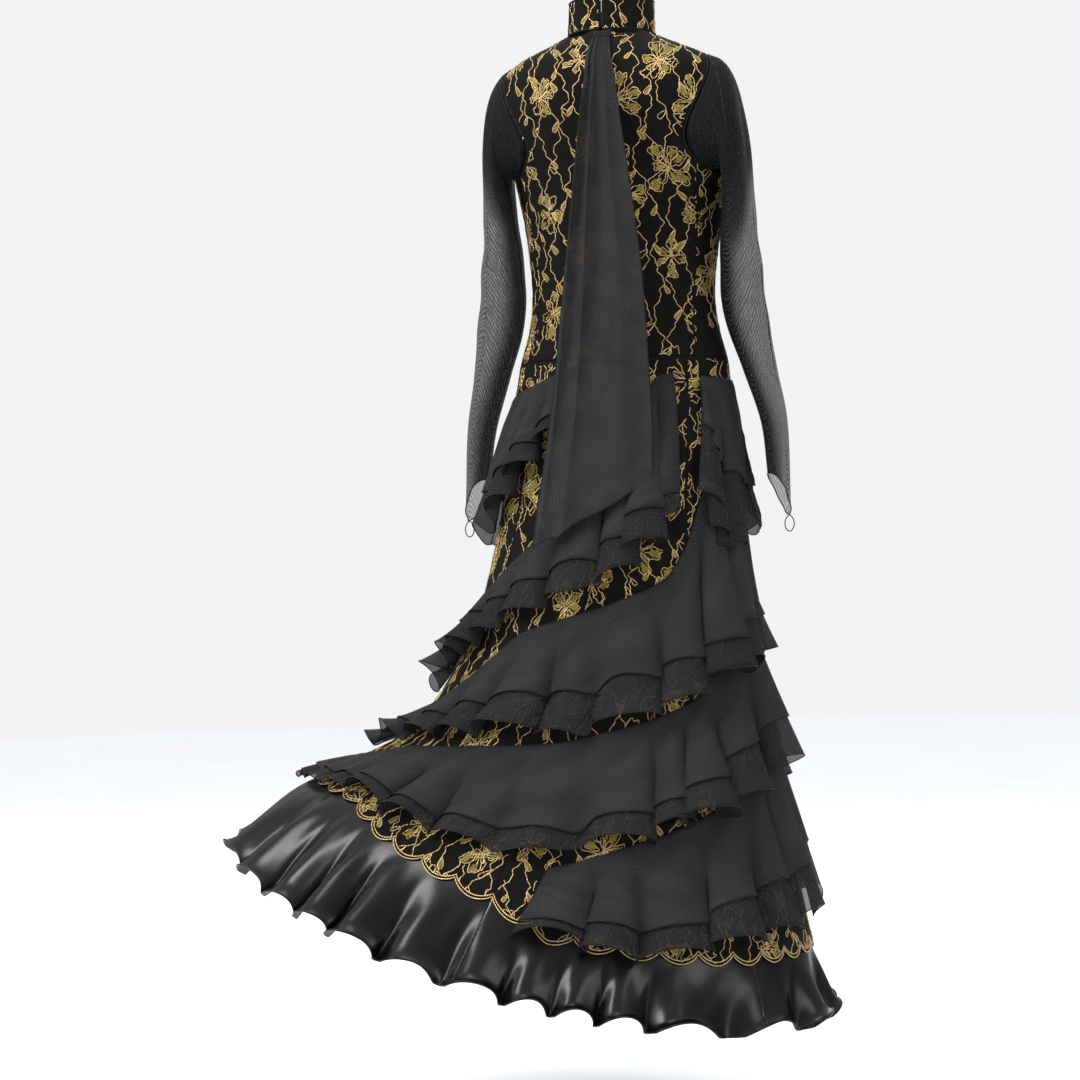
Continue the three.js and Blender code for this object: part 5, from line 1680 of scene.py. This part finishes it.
# ---- Fastenings that keep their CAD shape --------------------------------------------------------
@dataclass
class Fastenings:
    """Zip and hook strips at the centre back."""

    finishes: dict = field(default_factory=lambda: {
        "zip_tape_left": ZIP_TAPE, "zip_tape_right": ZIP_TAPE, "zip_coil_left": ZIP_COIL,
        "zip_coil_right": ZIP_COIL, "zip_bottom_stop": BLACK_METAL, "zip_slider": BLACK_METAL,
        "zip_pull": BLACK_METAL, "collar_hook_strip": ZIP_TAPE, "collar_eye_strip": ZIP_TAPE,
        "back_hook_strip": ZIP_TAPE, "back_eye_strip": ZIP_TAPE})

    def build(self) -> None:
        """Gives each CAD node its finish, and rounded edges to the metal ones."""
        for name, finish in self.finishes.items():
            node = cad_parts[name]
            node.data.materials.clear()
            node.data.materials.append(finish.material())
            if finish is BLACK_METAL:
                bevel = node.modifiers.new("rounded_edges", "BEVEL")
                bevel.width, bevel.segments, bevel.limit_method = 0.0002, 2, "ANGLE"
            log.info("%s: %s", name, finish.name)


# ---- Studio --------------------------------------------------------------------------------------
@dataclass
class Studio:
    """Pale floor, a pale background, soft lamps and the camera."""

    distance: float = 3.6
    azimuth: float = 196.0
    eye: float = -0.751
    focal: float = 80.4
    shift: float = -0.0745
    roll: float = -1.0
    floor: float = -1.62

    def build(self) -> None:
        """Makes the backdrop, the lamps and the camera."""
        self.backdrop()
        for name, place, size, power, aim in (
            ("key", (2.3, 2.3, 1.1), 1.3, 110, (0, 0, -0.6)),
            ("fill", (-2.9, 1.9, 0.2), 1.5, 32, (0, 0, -0.8)),
            ("top", (0, 0.6, 2.4), 1.6, 40, (0, 0, -0.6)), ("front", (0.6, -3.2, 0.8), 2.6, 60, (0, 0, -0.7)),
        ):
            self.lamp(name, Vector(place), size, power, Vector(aim))
        world = bpy.data.worlds.new("soft_studio")
        bpy.context.scene.world = world
        world.use_nodes = True
        background = world.node_tree.nodes["Background"]
        background.inputs["Color"].default_value = linear("f7f8fa")
        tree = world.node_tree
        way = add_node(tree, "ShaderNodeTexCoord").outputs["Generated"]
        up = add_node(tree, "ShaderNodeSeparateXYZ", inputs={0: way}).outputs["Z"]
        sky = add_node(tree, "ShaderNodeMapRange", inputs={
            "Value": up, "From Min": 0.2, "From Max": 0.9, "To Min": 0.3, "To Max": 1.5})
        ray = add_node(tree, "ShaderNodeLightPath").outputs["Is Camera Ray"]
        seen = add_node(tree, "ShaderNodeMapRange",
                        inputs={"Value": ray, "To Min": sky.outputs[0], "To Max": 0.95})
        world.node_tree.links.new(seen.outputs[0], background.inputs["Strength"])
        camera = bpy.data.objects.new("camera", bpy.data.cameras.new("camera"))
        bpy.context.scene.collection.objects.link(camera)
        turn = math.radians(self.azimuth)
        back = Vector((math.sin(turn), -math.cos(turn), 0))
        camera.location = back * self.distance + Vector((0, 0, self.eye))
        camera.rotation_mode = "QUATERNION"
        camera.rotation_quaternion = (-back).to_track_quat("-Z", "Y")
        camera.rotation_quaternion.rotate(Quaternion(back, math.radians(self.roll)))
        camera.data.lens, camera.data.sensor_width = self.focal, 36
        camera.data.shift_x = self.shift
        camera.data.clip_start, camera.data.clip_end = 0.05, 60
        bpy.context.scene.camera = camera
        bpy.context.scene.view_settings.view_transform = "Standard"

    def lamp(self, name: str, place: Vector, size: float, power: float, aim: Vector) -> None:
        """A square soft lamp that looks at a point."""
        data = bpy.data.lights.new(name, "AREA")
        data.size, data.energy = size, power
        lamp = bpy.data.objects.new(name, data)
        lamp.location = place
        lamp.rotation_euler = (aim - place).to_track_quat("-Z", "Y").to_euler()
        bpy.context.scene.collection.objects.link(lamp)

    def backdrop(self) -> None:
        """A wide disc of pale seamless paper."""
        sides = 96
        turn = np.linspace(0, 2 * np.pi, sides, endpoint=False)
        rings = [(0.0005, self.floor), (1.5, self.floor), (5.0, self.floor), (8.0, self.floor)]
        points = np.array([points_of(r * np.cos(turn), r * np.sin(turn), z) for r, z in rings]) / MM
        faces = grid_faces(len(rings), sides, ring=True)[:, ::-1]
        floor = mesh_piece("floor", points, faces, points[..., :2].reshape(-1, 2))
        floor.data.materials.append(PAPER.material())


def main() -> None:
    """Builds the gown and the studio, in order."""
    logging.basicConfig(level=logging.INFO, format="%(message)s")
    Studio().build()
    Collar().build()
    Bodice().build()
    LaceSkirt().build()
    SatinHem().build()
    clearance = Clearance()
    for flounce in FLOUNCES:
        flounce.build(clearance)
    BackFloat().build()
    Sleeve("left", 1, seed=3).build()
    Sleeve("right", -1, seed=9).build()
    Fastenings().build()


if __name__ == "__main__":
    main()
